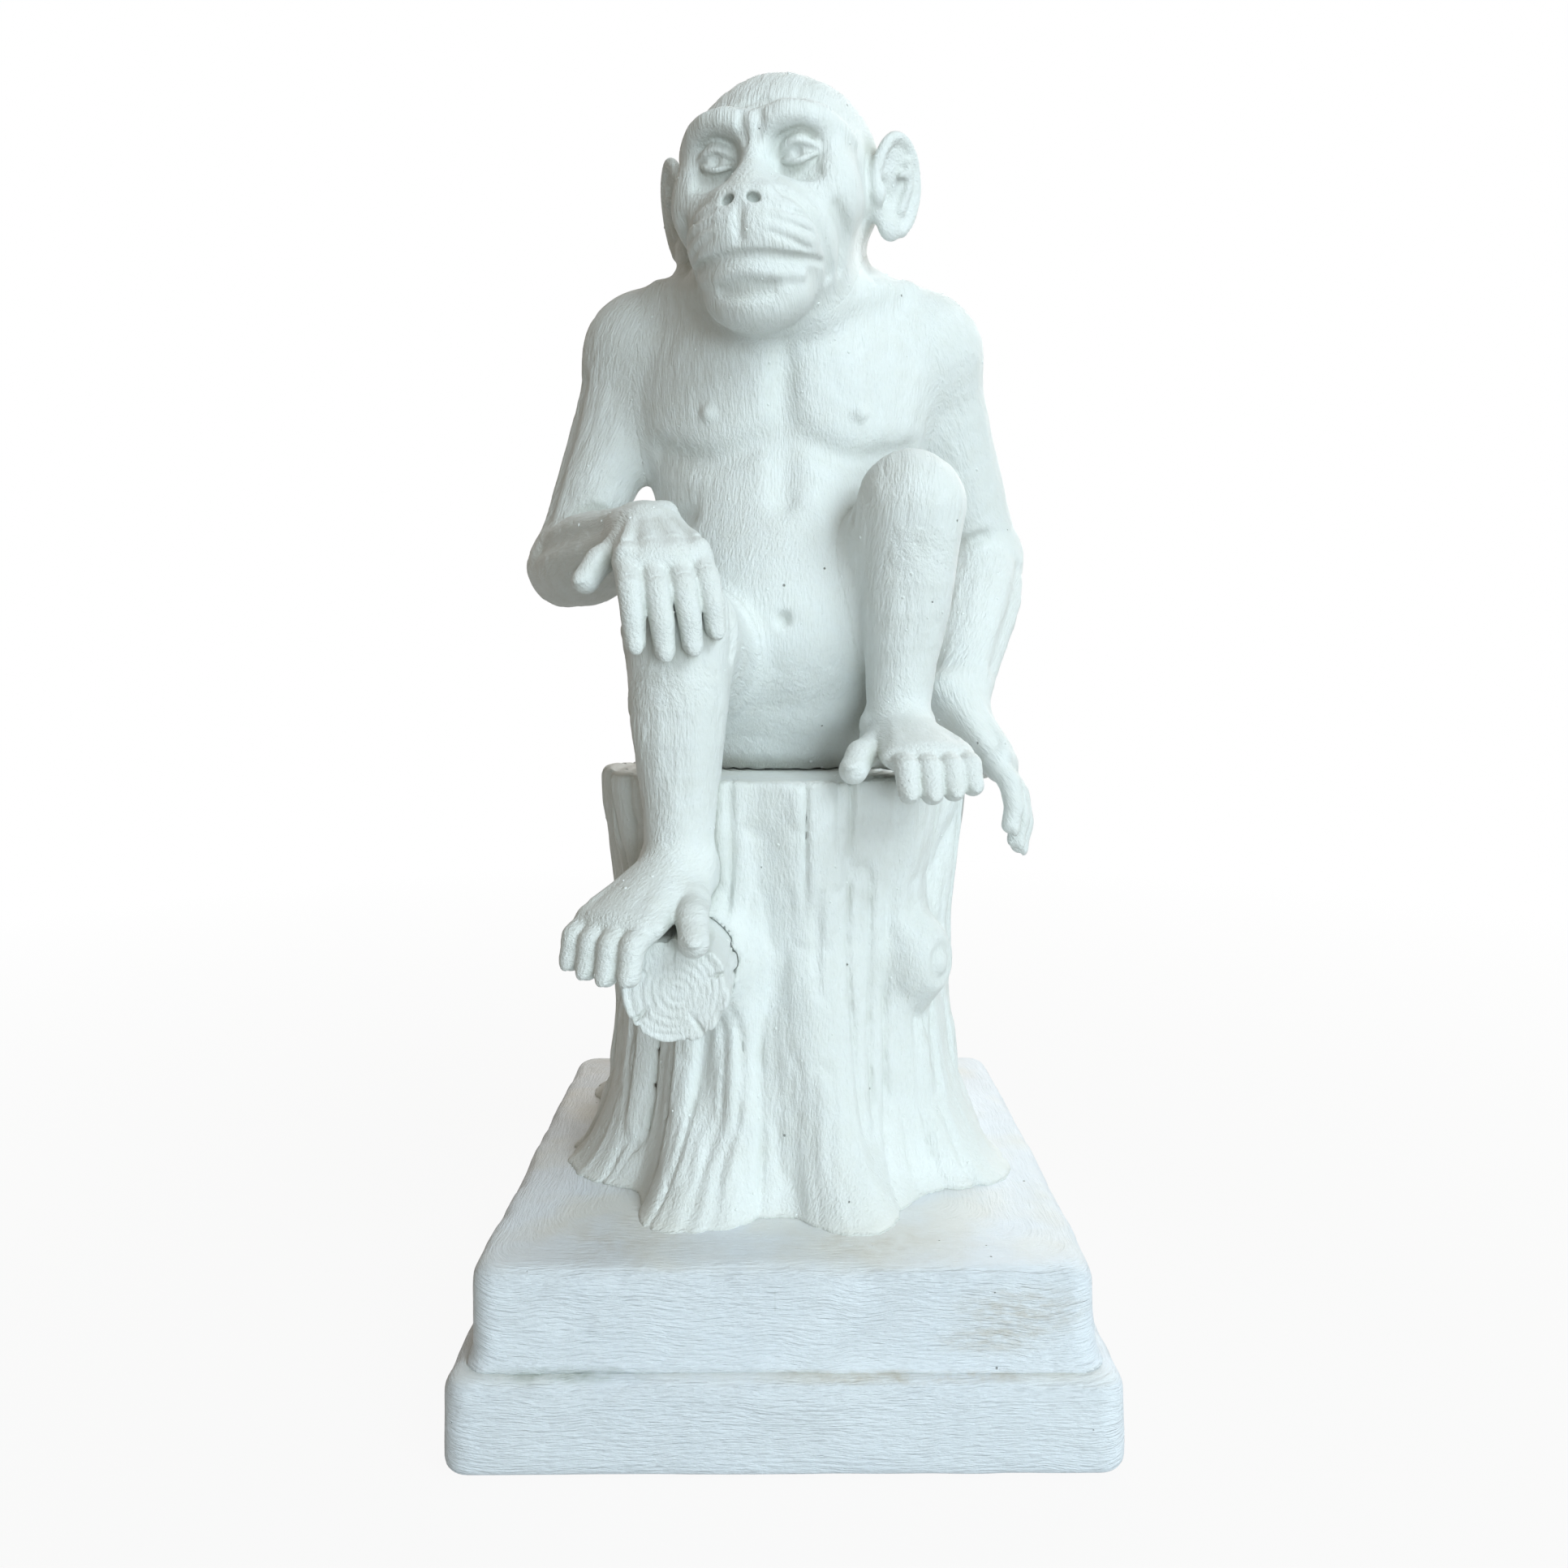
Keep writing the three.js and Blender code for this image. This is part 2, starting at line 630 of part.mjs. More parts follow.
function leftArm(grow) {
  const forward = at(0.55, -0.35, -0.76).normalize();
  const palm = square(at(-0.7, 0.1, -0.6), forward);
  return join([
    ...arm(shoulderOf(1), leftElbow, leftWrist, grow),
    hand(leftWrist, forward, palm, 1, [6, 20, 22], grow),
  ]);
}

function rightArm(grow) {
  const forward = at(0.25, -0.9, -0.36).normalize();
  const palm = square(at(0.15, -0.2, -1), forward);
  return join([
    ...arm(shoulderOf(-1), rightElbow, rightWrist, grow),
    hand(rightWrist, forward, palm, -1, [22, 26, 22], grow),
  ]);
}

// Thigh and shank.
function leg(hip, knee, ankle, grow) {
  const across = at(1, 0, 0);
  const between = (start, end, share) => start.clone().lerp(end, share);
  return [
    limb(
      [
        [hip, thighRadius * 0.94, thighRadius * 0.98],
        [between(hip, knee, 0.35), thighRadius * 0.94, thighRadius],
        [between(hip, knee, 0.75), kneeRadius * 1.07, kneeRadius * 1.13],
        [knee, kneeRadius * 0.98, kneeRadius],
      ],
      across,
      { sides: 12, steps: 1, grow },
    ),
    limb(
      [
        [knee, kneeRadius * 0.95, kneeRadius * 0.98],
        [between(knee, ankle, 0.3), calfRadius * 0.9, calfRadius],
        [between(knee, ankle, 0.7), calfRadius * 0.68, calfRadius * 0.73],
        [between(knee, ankle, 0.94), shinRadius * 0.92, shinRadius],
      ],
      across,
      { sides: 10, steps: 1, grow },
    ),
  ];
}

function leftLeg(grow) {
  const forward = at(0.16, -0.98, 0.02).normalize();
  const up = square(at(0, 0, 1), forward);
  return join([
    ...leg(hipOf(1), leftKnee, leftAnkle, grow),
    foot(leftAnkle, forward, up, at(-1, 0, 0), [14, 50], grow),
  ]);
}

function rightLeg(grow) {
  const forward = at(-0.42, -0.9, -0.12).normalize();
  const up = square(at(0, 0, 1), forward);
  return join([
    ...leg(hipOf(-1), rightKnee, rightAnkle, grow),
    foot(rightAnkle, forward, up, at(1, 0, 0), [16, 50], grow),
  ]);
}

// A round wire bent smoothly through its points.
function wire(points, grow) {
  const sides = 6;
  const steps = 11;
  const path = new THREE.CatmullRomCurve3(points);
  const { tangents, normals, binormals } = path.computeFrenetFrames(steps);
  const middleAt = (i) => {
    const past = i === 0 ? -grow : i === steps ? grow : 0;
    return path.getPointAt(i / steps).addScaledVector(tangents[i], past);
  };
  const rings = normals.map((normal, i) =>
    Array.from({ length: sides }, (_, k) => {
      const angle = (2 * Math.PI * k) / sides;
      return middleAt(i)
        .addScaledVector(normal, Math.cos(angle) * (wireRadius + grow))
        .addScaledVector(binormals[i], Math.sin(angle) * (wireRadius + grow));
    }),
  );
  return skin(rings, middleAt(0), middleAt(steps));
}

// Each limb's wire runs from a socket in the trunk, through the limb's joints, to short of its end.
const wireRoute = (joint, middle, end) => [
  joint.clone().add(at(-Math.sign(joint.x) * socketDepth, 0, 0)),
  joint,
  middle,
  end.clone().lerp(middle, 0.25),
];
const wireRoutes = {
  left_arm_wire: wireRoute(shoulderOf(1), leftElbow, leftWrist),
  right_arm_wire: wireRoute(shoulderOf(-1), rightElbow, rightWrist),
  left_leg_wire: wireRoute(hipOf(1), leftKnee, leftAnkle),
  right_leg_wire: wireRoute(hipOf(-1), rightKnee, rightAnkle),
};
const spineAt = (z) => at(0, stumpBack + hipBack / 2, z);
const spineRod = (grow) =>
  bar(spineAt(spineStart - grow), spineAt(seat + spineTop + grow), spineRadius + grow);
const neckPinStart = at(0, stumpBack + hipBack, seat + trunkHeight - neckPinRoot);
const neckPinEnd = headMiddle.clone().add(at(0, neckDepth / 3, neckPinReach - neckTop));
const neckPin = (grow) =>
  bar(
    neckPinStart.clone().add(at(0, 0, -grow)),
    neckPinEnd.clone().add(at(0, 0, grow)),
    neckPinRadius + grow,
  );

// Finishes
const finish = (color, roughness, metalness) =>
  new THREE.MeshStandardMaterial({ color, roughness, metalness });
const plaster = () => finish(0xe4eaea, 0.72, 0);
const steel = () => finish(0x8a8d90, 0.4, 1);
const felt = () => finish(0x2f4a3a, 1, 0);

const statue = new THREE.Group();
function add(name, shape, material) {
  const { numProp, vertProperties, triVerts } = shape.getMesh();
  const points = new Float32Array((vertProperties.length / numProp) * 3);
  for (let i = 0; i < points.length / 3; i++) {
    points.set(vertProperties.subarray(i * numProp, i * numProp + 3), i * 3);
  }
  const geometry = new THREE.BufferGeometry();
  geometry.setAttribute("position", new THREE.BufferAttribute(points, 3));
  geometry.setIndex(new THREE.BufferAttribute(triVerts, 1));
  geometry.computeVertexNormals();
  const mesh = new THREE.Mesh(geometry, material);
  mesh.name = name;
  statue.add(mesh);
}

// What each casting is cut by: its neighbours and its rods, each grown by the gap it needs.
const [leftArmHole, rightArmHole, leftLegHole, rightLegHole] = Object.values(wireRoutes).map((route) =>
  wire(route, rodGap),
);
const wireHoles = [leftArmHole, rightArmHole, leftLegHole, rightLegHole];
const spineHole = spineRod(rodGap);
const stubPinHole = stubPin(rodGap);
const neckPinHole = neckPin(rodGap);
const feltSeats = feltPlaces.map(([, place]) => {
  const top = place.clone().setZ(feltThickness);
  return bar(place.clone().setZ(-1), top, feltRadius + rodGap, feltRadius + rodGap, 20);
});
const trunkSpace = trunk(plasterGap);
const stumpSpace = join([stumpBody(plasterGap), stubCollar(plasterGap), knot(plasterGap)]);
const stubSpace = stubBody(plasterGap);
const leftLegSpace = leftLeg(plasterGap);
const rightLegSpace = rightLeg(plasterGap);
const headSpace = headBody(plasterGap);

// Plinth and stump
const base = plinthStep(footWidth, feltProud, footTop);
const cap = plinthStep(capWidth, footTop, capTop).add(register(0));
const stump = join([stumpBody(0), stumpRegister(0), stubCollar(0), knot(0)]);
add("plinth_foot", cut(base, [register(rodGap), spineHole, ...feltSeats]), plaster());
add("plinth_cap", cut(cap, [stumpRegister(rodGap), spineHole]), plaster());
add("tree_stump", cut(stump, [spineHole, stubPinHole]), plaster());
add("branch_stub", cut(stubBody(0), [stubPinHole]), plaster());

// Figure
const limbSpaces = [trunkSpace, stumpSpace, leftLegSpace, rightLegSpace, headSpace];
add("torso", cut(trunk(0), [stumpSpace, spineHole, neckPinHole, ...wireHoles]), plaster());
add("head", cut(headBody(0), [trunkSpace, neckPinHole]), plaster());
add("left_leg", cut(leftLeg(0), [trunkSpace, stumpSpace, leftLegHole]), plaster());
const rightLegCuts = [trunkSpace, stumpSpace, stubSpace, leftLegSpace, rightLegHole];
add("right_leg", cut(rightLeg(0), rightLegCuts), plaster());
add("left_arm", cut(leftArm(0), [...limbSpaces, leftArmHole]), plaster());
add("right_arm", cut(rightArm(0), [...limbSpaces, rightArmHole]), plaster());

// Rods, wires and felts
add("spine_rod", spineRod(0), steel());
add("neck_pin", neckPin(0), steel());
add("branch_pin", stubPin(0), steel());
for (const [name, route] of Object.entries(wireRoutes)) add(name, wire(route, 0), steel());
for (const [name, place] of feltPlaces) {
  const pad = bar(place, place.clone().setZ(feltThickness), feltRadius, feltRadius, 20);
  add(`felt_pad_${name}`, pad, felt());
}

export default statue;
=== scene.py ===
"""A white painted plaster ornament: an ape seated on a tree stump, on a plinth of two steps.

The castings are modelled as clay is, by adding and carving soft forms, and each is then skinned with a
mesh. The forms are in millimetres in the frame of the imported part, and the meshes are in metres.
"""

import math

import bpy
import numpy as np
from mathutils import Euler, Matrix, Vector


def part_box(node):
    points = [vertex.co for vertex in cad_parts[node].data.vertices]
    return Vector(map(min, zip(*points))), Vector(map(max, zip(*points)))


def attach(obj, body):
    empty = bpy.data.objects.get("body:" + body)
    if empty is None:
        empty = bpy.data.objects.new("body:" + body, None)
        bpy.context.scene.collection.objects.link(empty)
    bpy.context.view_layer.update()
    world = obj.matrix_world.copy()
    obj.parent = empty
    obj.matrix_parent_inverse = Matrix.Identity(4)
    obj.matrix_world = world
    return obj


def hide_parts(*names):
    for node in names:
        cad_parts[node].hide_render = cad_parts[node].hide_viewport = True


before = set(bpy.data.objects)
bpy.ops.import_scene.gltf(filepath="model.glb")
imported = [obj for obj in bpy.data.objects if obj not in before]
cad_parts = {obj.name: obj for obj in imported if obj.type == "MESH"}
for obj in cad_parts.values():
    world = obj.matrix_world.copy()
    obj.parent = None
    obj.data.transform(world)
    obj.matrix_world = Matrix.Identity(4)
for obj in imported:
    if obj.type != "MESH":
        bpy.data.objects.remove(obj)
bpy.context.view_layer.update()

MM = 0.001

# Camera, fitted to the photograph
SENSOR_WIDTH = 36.0
PHOTO_WIDTH = 1932
FOCAL_PIXELS = 1350
CAMERA_PLACE = (-1.1, -275.2, 159.5)
CAMERA_DOWN = 5.31  # degrees
CAMERA_TURN = -0.25


def at(x, y, z):
    return np.array([x, y, z], dtype=np.float64)


def corners(node):
    """The low and the high corner of a node's box in millimetres."""
    low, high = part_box(node)
    return np.array(low) / MM, np.array(high) / MM


# Sizes from the frame
FOOT_LOW, FOOT_HIGH = corners("plinth_foot")
CAP_LOW, CAP_HIGH = corners("plinth_cap")
STUB_LOW, STUB_HIGH = corners("branch_stub")
SEAT = corners("tree_stump")[1][2]
FOOT_TOP = FOOT_HIGH[2]
CAP_TOP = CAP_HIGH[2]

# Plinth
UPRIGHT_CORNER = 6.0
TOP_EDGE = 3.5
SIDE_DRAFT = 0.6
WAVE_ROOM = 0.42  # keeps the waves of the sides inside the size
REGISTER_HALF = 28.0
REGISTER_HEIGHT = 6.0
FELT_RADIUS = 8.0
FELT_THICKNESS = 2.0
FELT_INSET = 18.0

# Stump
STUMP_BACK = 8.0
STUMP_WAIST = 43.0
STUMP_TOP = 47.0
STUMP_SWELL = 5.0
BARK_RIDGES = 14
BARK_DEPTH = 1.1
BARK_GIRTH = 44.0  # the radius at which furrows have their size
STUMP_WOOD = 44.0  # the radius inside the bark
STUMP_RING = 3.4  # width of a growth ring
STUMP_CHECKS = [(25, 30), (118, 34), (204, 26), (250, 18), (310, 32)]  # angle and length
ROOT_HEIGHT = 17.0
ROOTS = [(38, 14, 17), (96, 3, 20), (146, 13, 18), (205, 10, 15)]  # angle, reach and spread
ROOTS += [(246, 15, 13), (289, 12, 15), (332, 14, 14)]
KNOT_ANGLE = 318  # degrees from +X
KNOT_DROP = 44.0
STUMP_REGISTER_RADIUS = 26.0
STUB_RADIUS = 12.0
STUB_RING = 1.7
STUB_CHECKS = [(20, 6), (95, 9), (150, 5), (215, 8), (300, 7)]
STUB_SIDE = (STUB_LOW[0] + STUB_HIGH[0]) / 2
STUB_RISE = (STUB_LOW[2] + STUB_HIGH[2]) / 2
STUB_FRONT = STUB_LOW[1]
STUB_ROOT = STUB_HIGH[1]

# Figure: lengths between joints
HIP_SPREAD = 17.0
HIP_HEIGHT = 21.0
HIP_BACK = 8.0
THIGH = 56.0
SHANK = 51.0
TRUNK_HEIGHT = 105.0
SHOULDER_SPREAD = 36.0
SHOULDER_BACK = 9.0
UPPER_ARM = 58.0
FOREARM = 54.0
HEAD_HEIGHT = 135.1
HEAD_FORWARD = 13.0
HEAD_TURN = 14.0
HEAD_NOD = 6.0
NECK_TOP = 12.0
ANKLE_HEIGHT = 10.0
SOLE_LENGTH = 25.0
TOE_LENGTH = 12.5
PALM_LENGTH = 19.0
FINGER_LENGTH = 21.0

# Figure: half widths
BELLY_WIDTH, BELLY_DEPTH = 31.0, 28.0
CHEST_WIDTH, CHEST_DEPTH = 36.0, 27.0
NECK_WIDTH, NECK_DEPTH = 20.0, 17.0
SKULL_WIDTH = 24.0
SHOULDER_RADIUS = 15.0
UPPER_ARM_RADIUS = 13.6
ELBOW_RADIUS = 10.4
FOREARM_RADIUS = 12.0
WRIST_RADIUS = 7.6
PALM_WIDTH, PALM_DEPTH = 10.2, 5.4
FINGER_RADIUS = 3.1
THUMB_RADIUS = 3.5
THIGH_RADIUS = 17.6
KNEE_RADIUS = 13.0
CALF_RADIUS = 12.8
SHIN_RADIUS = 8.4
SOLE_WIDTH = 10.4
TOE_RADIUS = 3.0
BIG_TOE_RADIUS = 3.9

SEAM = 0.3  # hairline between castings
LAP = 0.25  # how far a casting runs into its neighbour, where the joint was filled


# Vectors


def unit(v):
    return v / np.linalg.norm(v)


def lerp(a, b, share):
    return a + (b - a) * share


def square(direction, forward):
    """The direction at right angles to forward that is nearest to the one given."""
    return unit(direction - forward * (direction @ forward))


def bend(start, end, first, second, hint):
    """The middle joint of two bones that reach from start to end, bent towards the hint."""
    reach = np.linalg.norm(end - start)
    line = (end - start) / reach
    along = (first**2 - second**2 + reach**2) / (2 * reach)
    out = math.sqrt(max(0.0, first**2 - along**2))
    return start + line * along + square(hint, line) * out


def step(x, low, high):
    """0 below low, 1 above high and smooth between; low may be the larger."""
    t = np.clip((x - low) / (high - low), 0, 1)
    return t * t * (3 - 2 * t)


# Soft noise

LATTICE = np.random.default_rng(7).uniform(-1, 1, (32, 32, 32)).astype(np.float32)


def noise(points, seed=0):
    """Smooth noise from about -1 to 1 with one swing per unit."""
    places = np.asarray(points, dtype=np.float32) + np.float32(seed * 7.31)
    base = np.floor(places).astype(np.int32)
    part = places - base
    part = part * part * part * (part * (part * 6 - 15) + 10)
    x0, y0, z0 = (base & 31).T
    x1, y1, z1 = ((base + 1) & 31).T
    fx, fy, fz = part.T
    near = (LATTICE[x0, y0, z0] * (1 - fx) + LATTICE[x1, y0, z0] * fx) * (1 - fy)
    near += (LATTICE[x0, y1, z0] * (1 - fx) + LATTICE[x1, y1, z0] * fx) * fy
    far = (LATTICE[x0, y0, z1] * (1 - fx) + LATTICE[x1, y0, z1] * fx) * (1 - fy)
    far += (LATTICE[x0, y1, z1] * (1 - fx) + LATTICE[x1, y1, z1] * fx) * fy
    return near * (1 - fz) + far * fz


# Forms. Each has a box and gives its distance from points, negative inside.


def blended(a, b, width):
    """The union of two distances with a soft joint as wide as the width."""
    if width <= 0:
        return np.minimum(a, b)
    near = np.maximum(width - np.abs(a - b), 0) / width
    return np.minimum(a, b) - near * near * width * 0.25


CORNERS = np.array([(i, j, k) for i in (0, 1) for j in (0, 1) for k in (0, 1)])
TETRA = np.array([(1, -1, -1), (-1, -1, 1), (-1, 1, -1), (1, 1, 1)], float)


class Egg:
    """An egg with half sizes along its own axes, which are turned about X, Y and Z in degrees."""

    def __init__(self, middle, radii, turn=(0, 0, 0)):
        self.middle = np.asarray(middle, float)
        self.radii = np.asarray(radii, float)
        self.axes = np.array(Euler([math.radians(a) for a in turn]).to_matrix())
        reach = np.sqrt((self.axes**2) @ (self.radii**2))
        self.low, self.high = self.middle - reach, self.middle + reach

    def distance(self, points):
        local = (points - self.middle) @ self.axes
        scaled = local / self.radii
        k0 = np.sqrt((scaled**2).sum(1)) + 1e-9
        k1 = np.sqrt(((scaled / self.radii) ** 2).sum(1)) + 1e-9
        return k0 * (k0 - 1) / k1


class Limb:
    """A round-ended limb through stations of a middle, a half width and, if not round, a half depth."""

    def __init__(self, stations, across=(1, 0, 0), steps=3):
        rows = np.array([[*station[0], station[1], station[-1]] for station in stations], float)
        self.rows = self.smooth(rows, steps) if len(rows) > 2 else rows
        self.across = unit(np.asarray(across, float))
        reach = self.rows[:, 3:].max(1)[:, None]
        self.low = (self.rows[:, :3] - reach).min(0)
        self.high = (self.rows[:, :3] + reach).max(0)

    @staticmethod
    def smooth(rows, steps):
        padded = np.vstack([2 * rows[0] - rows[1], rows, 2 * rows[-1] - rows[-2]])
        result = []
        for i in range(len(rows) - 1):
            a, b, c, d = padded[i : i + 4]
            for k in range(steps):
                t = k / steps
                cubic = 2 * b + (c - a) * t + (2 * a - 5 * b + 4 * c - d) * t**2
                result.append((cubic + (3 * b - a - 3 * c + d) * t**3) / 2)
        result.append(rows[-1])
        return np.array(result)

    def distance(self, points):
        best = None
        for start, end in zip(self.rows[:-1], self.rows[1:]):
            line = end[:3] - start[:3]
            length = np.linalg.norm(line)
            if length < 1e-6:
                continue
            line = line / length
            wide = square(self.across if abs(line @ self.across) < 0.97 else self.across[[1, 2, 0]], line)
            deep = np.cross(line, wide)
            offset = points - start[:3]
            share = np.clip(offset @ line / length, 0, 1)
            width = start[3] + (end[3] - start[3]) * share
            depth = start[4] + (end[4] - start[4]) * share
            along = offset @ line - share * length
            side = offset @ wide / width
            down = offset @ deep / depth
            round_end = np.minimum(width, depth)
            past = along / round_end
            k0 = np.sqrt(side**2 + down**2 + past**2) + 1e-9
            k1 = np.sqrt((side / width) ** 2 + (down / depth) ** 2 + (past / round_end) ** 2) + 1e-9
            d = k0 * (k0 - 1) / k1
            best = d if best is None else np.minimum(best, d)
        return best


class Clay:
    """Soft forms added and carved in turn, each with a joint as soft as its blend."""

    FAR = 60.0
    REACH = 7.0

    def __init__(self, origin=(0, 0, 0), axes=np.eye(3), scale=1.0):
        self.layers = []
        self.origin, self.axes, self.scale = np.asarray(origin, float), axes, scale

    def add(self, form, blend):
        self.layers.append((1, form, blend))
        return self

    def egg(self, middle, radii, blend, turn=(0, 0, 0)):
        return self.add(Egg(middle, radii, turn), blend)

    def limb(self, stations, blend):
        return self.add(Limb(stations), blend)

    def carve(self, form, blend):
        self.layers.append((-1, form, blend))
        return self

    def groove(self, stations, blend):
        """Carves a line that is drawn on the surface as it is so far."""
        return self.carve(Limb([(self.skin(middle), radius) for middle, radius in stations]), blend)

    def ridge(self, stations, blend):
        return self.add(Limb([(self.skin(middle), radius) for middle, radius in stations]), blend)

    def skin(self, middle):
        """The place on the surface near the given one."""
        place = np.array([middle], float)
        for _ in range(8):
            values = [self.shape(place + corner * 0.2)[0] for corner in TETRA]
            slope = sum(value * corner for value, corner in zip(values, TETRA)) / 0.8
            steep = max(np.linalg.norm(slope), 0.2)
            place = place - slope / steep**2 * np.clip(sum(values) / 4, -3, 3)
        return place[0]

    def bounds(self):
        low = np.min([form.low for sign, form, _ in self.layers if sign > 0], 0)
        high = np.max([form.high for sign, form, _ in self.layers if sign > 0], 0)
        corners = low + CORNERS * (high - low)
        placed = corners * self.scale @ self.axes.T + self.origin
        return placed.min(0), placed.max(0)

    def distance(self, points):
        return self.shape((points - self.origin) @ self.axes / self.scale) * self.scale

    def shape(self, local):
        d = np.full(len(local), self.FAR)
        for sign, form, blend in self.layers:
            margin = blend + (self.REACH if sign > 0 else 0.5)
            near = np.all((local > form.low - margin) & (local < form.high + margin), axis=1)
            chosen = np.nonzero(near)[0]
            if not len(chosen):
                continue
            other = form.distance(local[chosen])
            if sign > 0:
                d[chosen] = blended(d[chosen], other, blend)
            else:
                d[chosen] = -blended(-d[chosen], other, blend)
        return d


# Joints of the figure


def hip_of(side):
    return at(side * HIP_SPREAD, STUMP_BACK + HIP_BACK, SEAT + HIP_HEIGHT)


def shoulder_of(side):
    return at(side * SHOULDER_SPREAD, STUMP_BACK + SHOULDER_BACK, SEAT + TRUNK_HEIGHT)


LEFT_ANKLE = at(STUMP_TOP * 0.57, STUMP_BACK - STUMP_TOP + SOLE_LENGTH - 1, SEAT + ANKLE_HEIGHT)
RIGHT_ANKLE = at(STUB_SIDE - 1, STUB_ROOT, STUB_RISE + STUB_RADIUS + ANKLE_HEIGHT)
LEFT_KNEE = bend(hip_of(1), LEFT_ANKLE, THIGH, SHANK, at(0.15, -0.5, 1))
RIGHT_KNEE = bend(hip_of(-1), RIGHT_ANKLE, THIGH, SHANK, at(-0.05, -0.6, 0.8))
LEFT_WRIST = at(STUMP_TOP - 2, STUMP_BACK - 2, SEAT + PALM_LENGTH * 0.8)
RIGHT_WRIST = RIGHT_KNEE + at(-7, 9, KNEE_RADIUS + WRIST_RADIUS + 1)
LEFT_ELBOW = bend(shoulder_of(1), LEFT_WRIST, UPPER_ARM, FOREARM, at(0.6, 1, 0))
RIGHT_ELBOW = bend(shoulder_of(-1), RIGHT_WRIST, UPPER_ARM, FOREARM, at(-0.8, 1, -0.6))
HEAD_MIDDLE = at(-1, STUMP_BACK - HEAD_FORWARD, SEAT + HEAD_HEIGHT)
HEAD_AXES = np.array(Euler((math.radians(HEAD_NOD), 0, math.radians(-HEAD_TURN))).to_matrix())
HEAD_SCALE = SKULL_WIDTH / 22
REACHES = {  # which way each hand and foot points
    "left_arm": unit(at(0.55, -0.35, -0.76)),
    "right_arm": unit(at(0.25, -0.9, -0.36)),
    "left_leg": unit(at(0.16, -0.98, 0.02)),
    "right_leg": unit(at(-0.42, -0.9, -0.12)),
}


def path(place, *rows):
    """Stations of a limb: each row has the three numbers that place it, and then its half sizes."""
    return [(place(*row[:3]), *row[3:]) for row in rows]


def arch(*rows):
    """A path from side to side, given by the rows of one side and then the middle."""
    return path(at, *((-row[0], *row[1:]) for row in rows[:-1]), *rows[::-1])


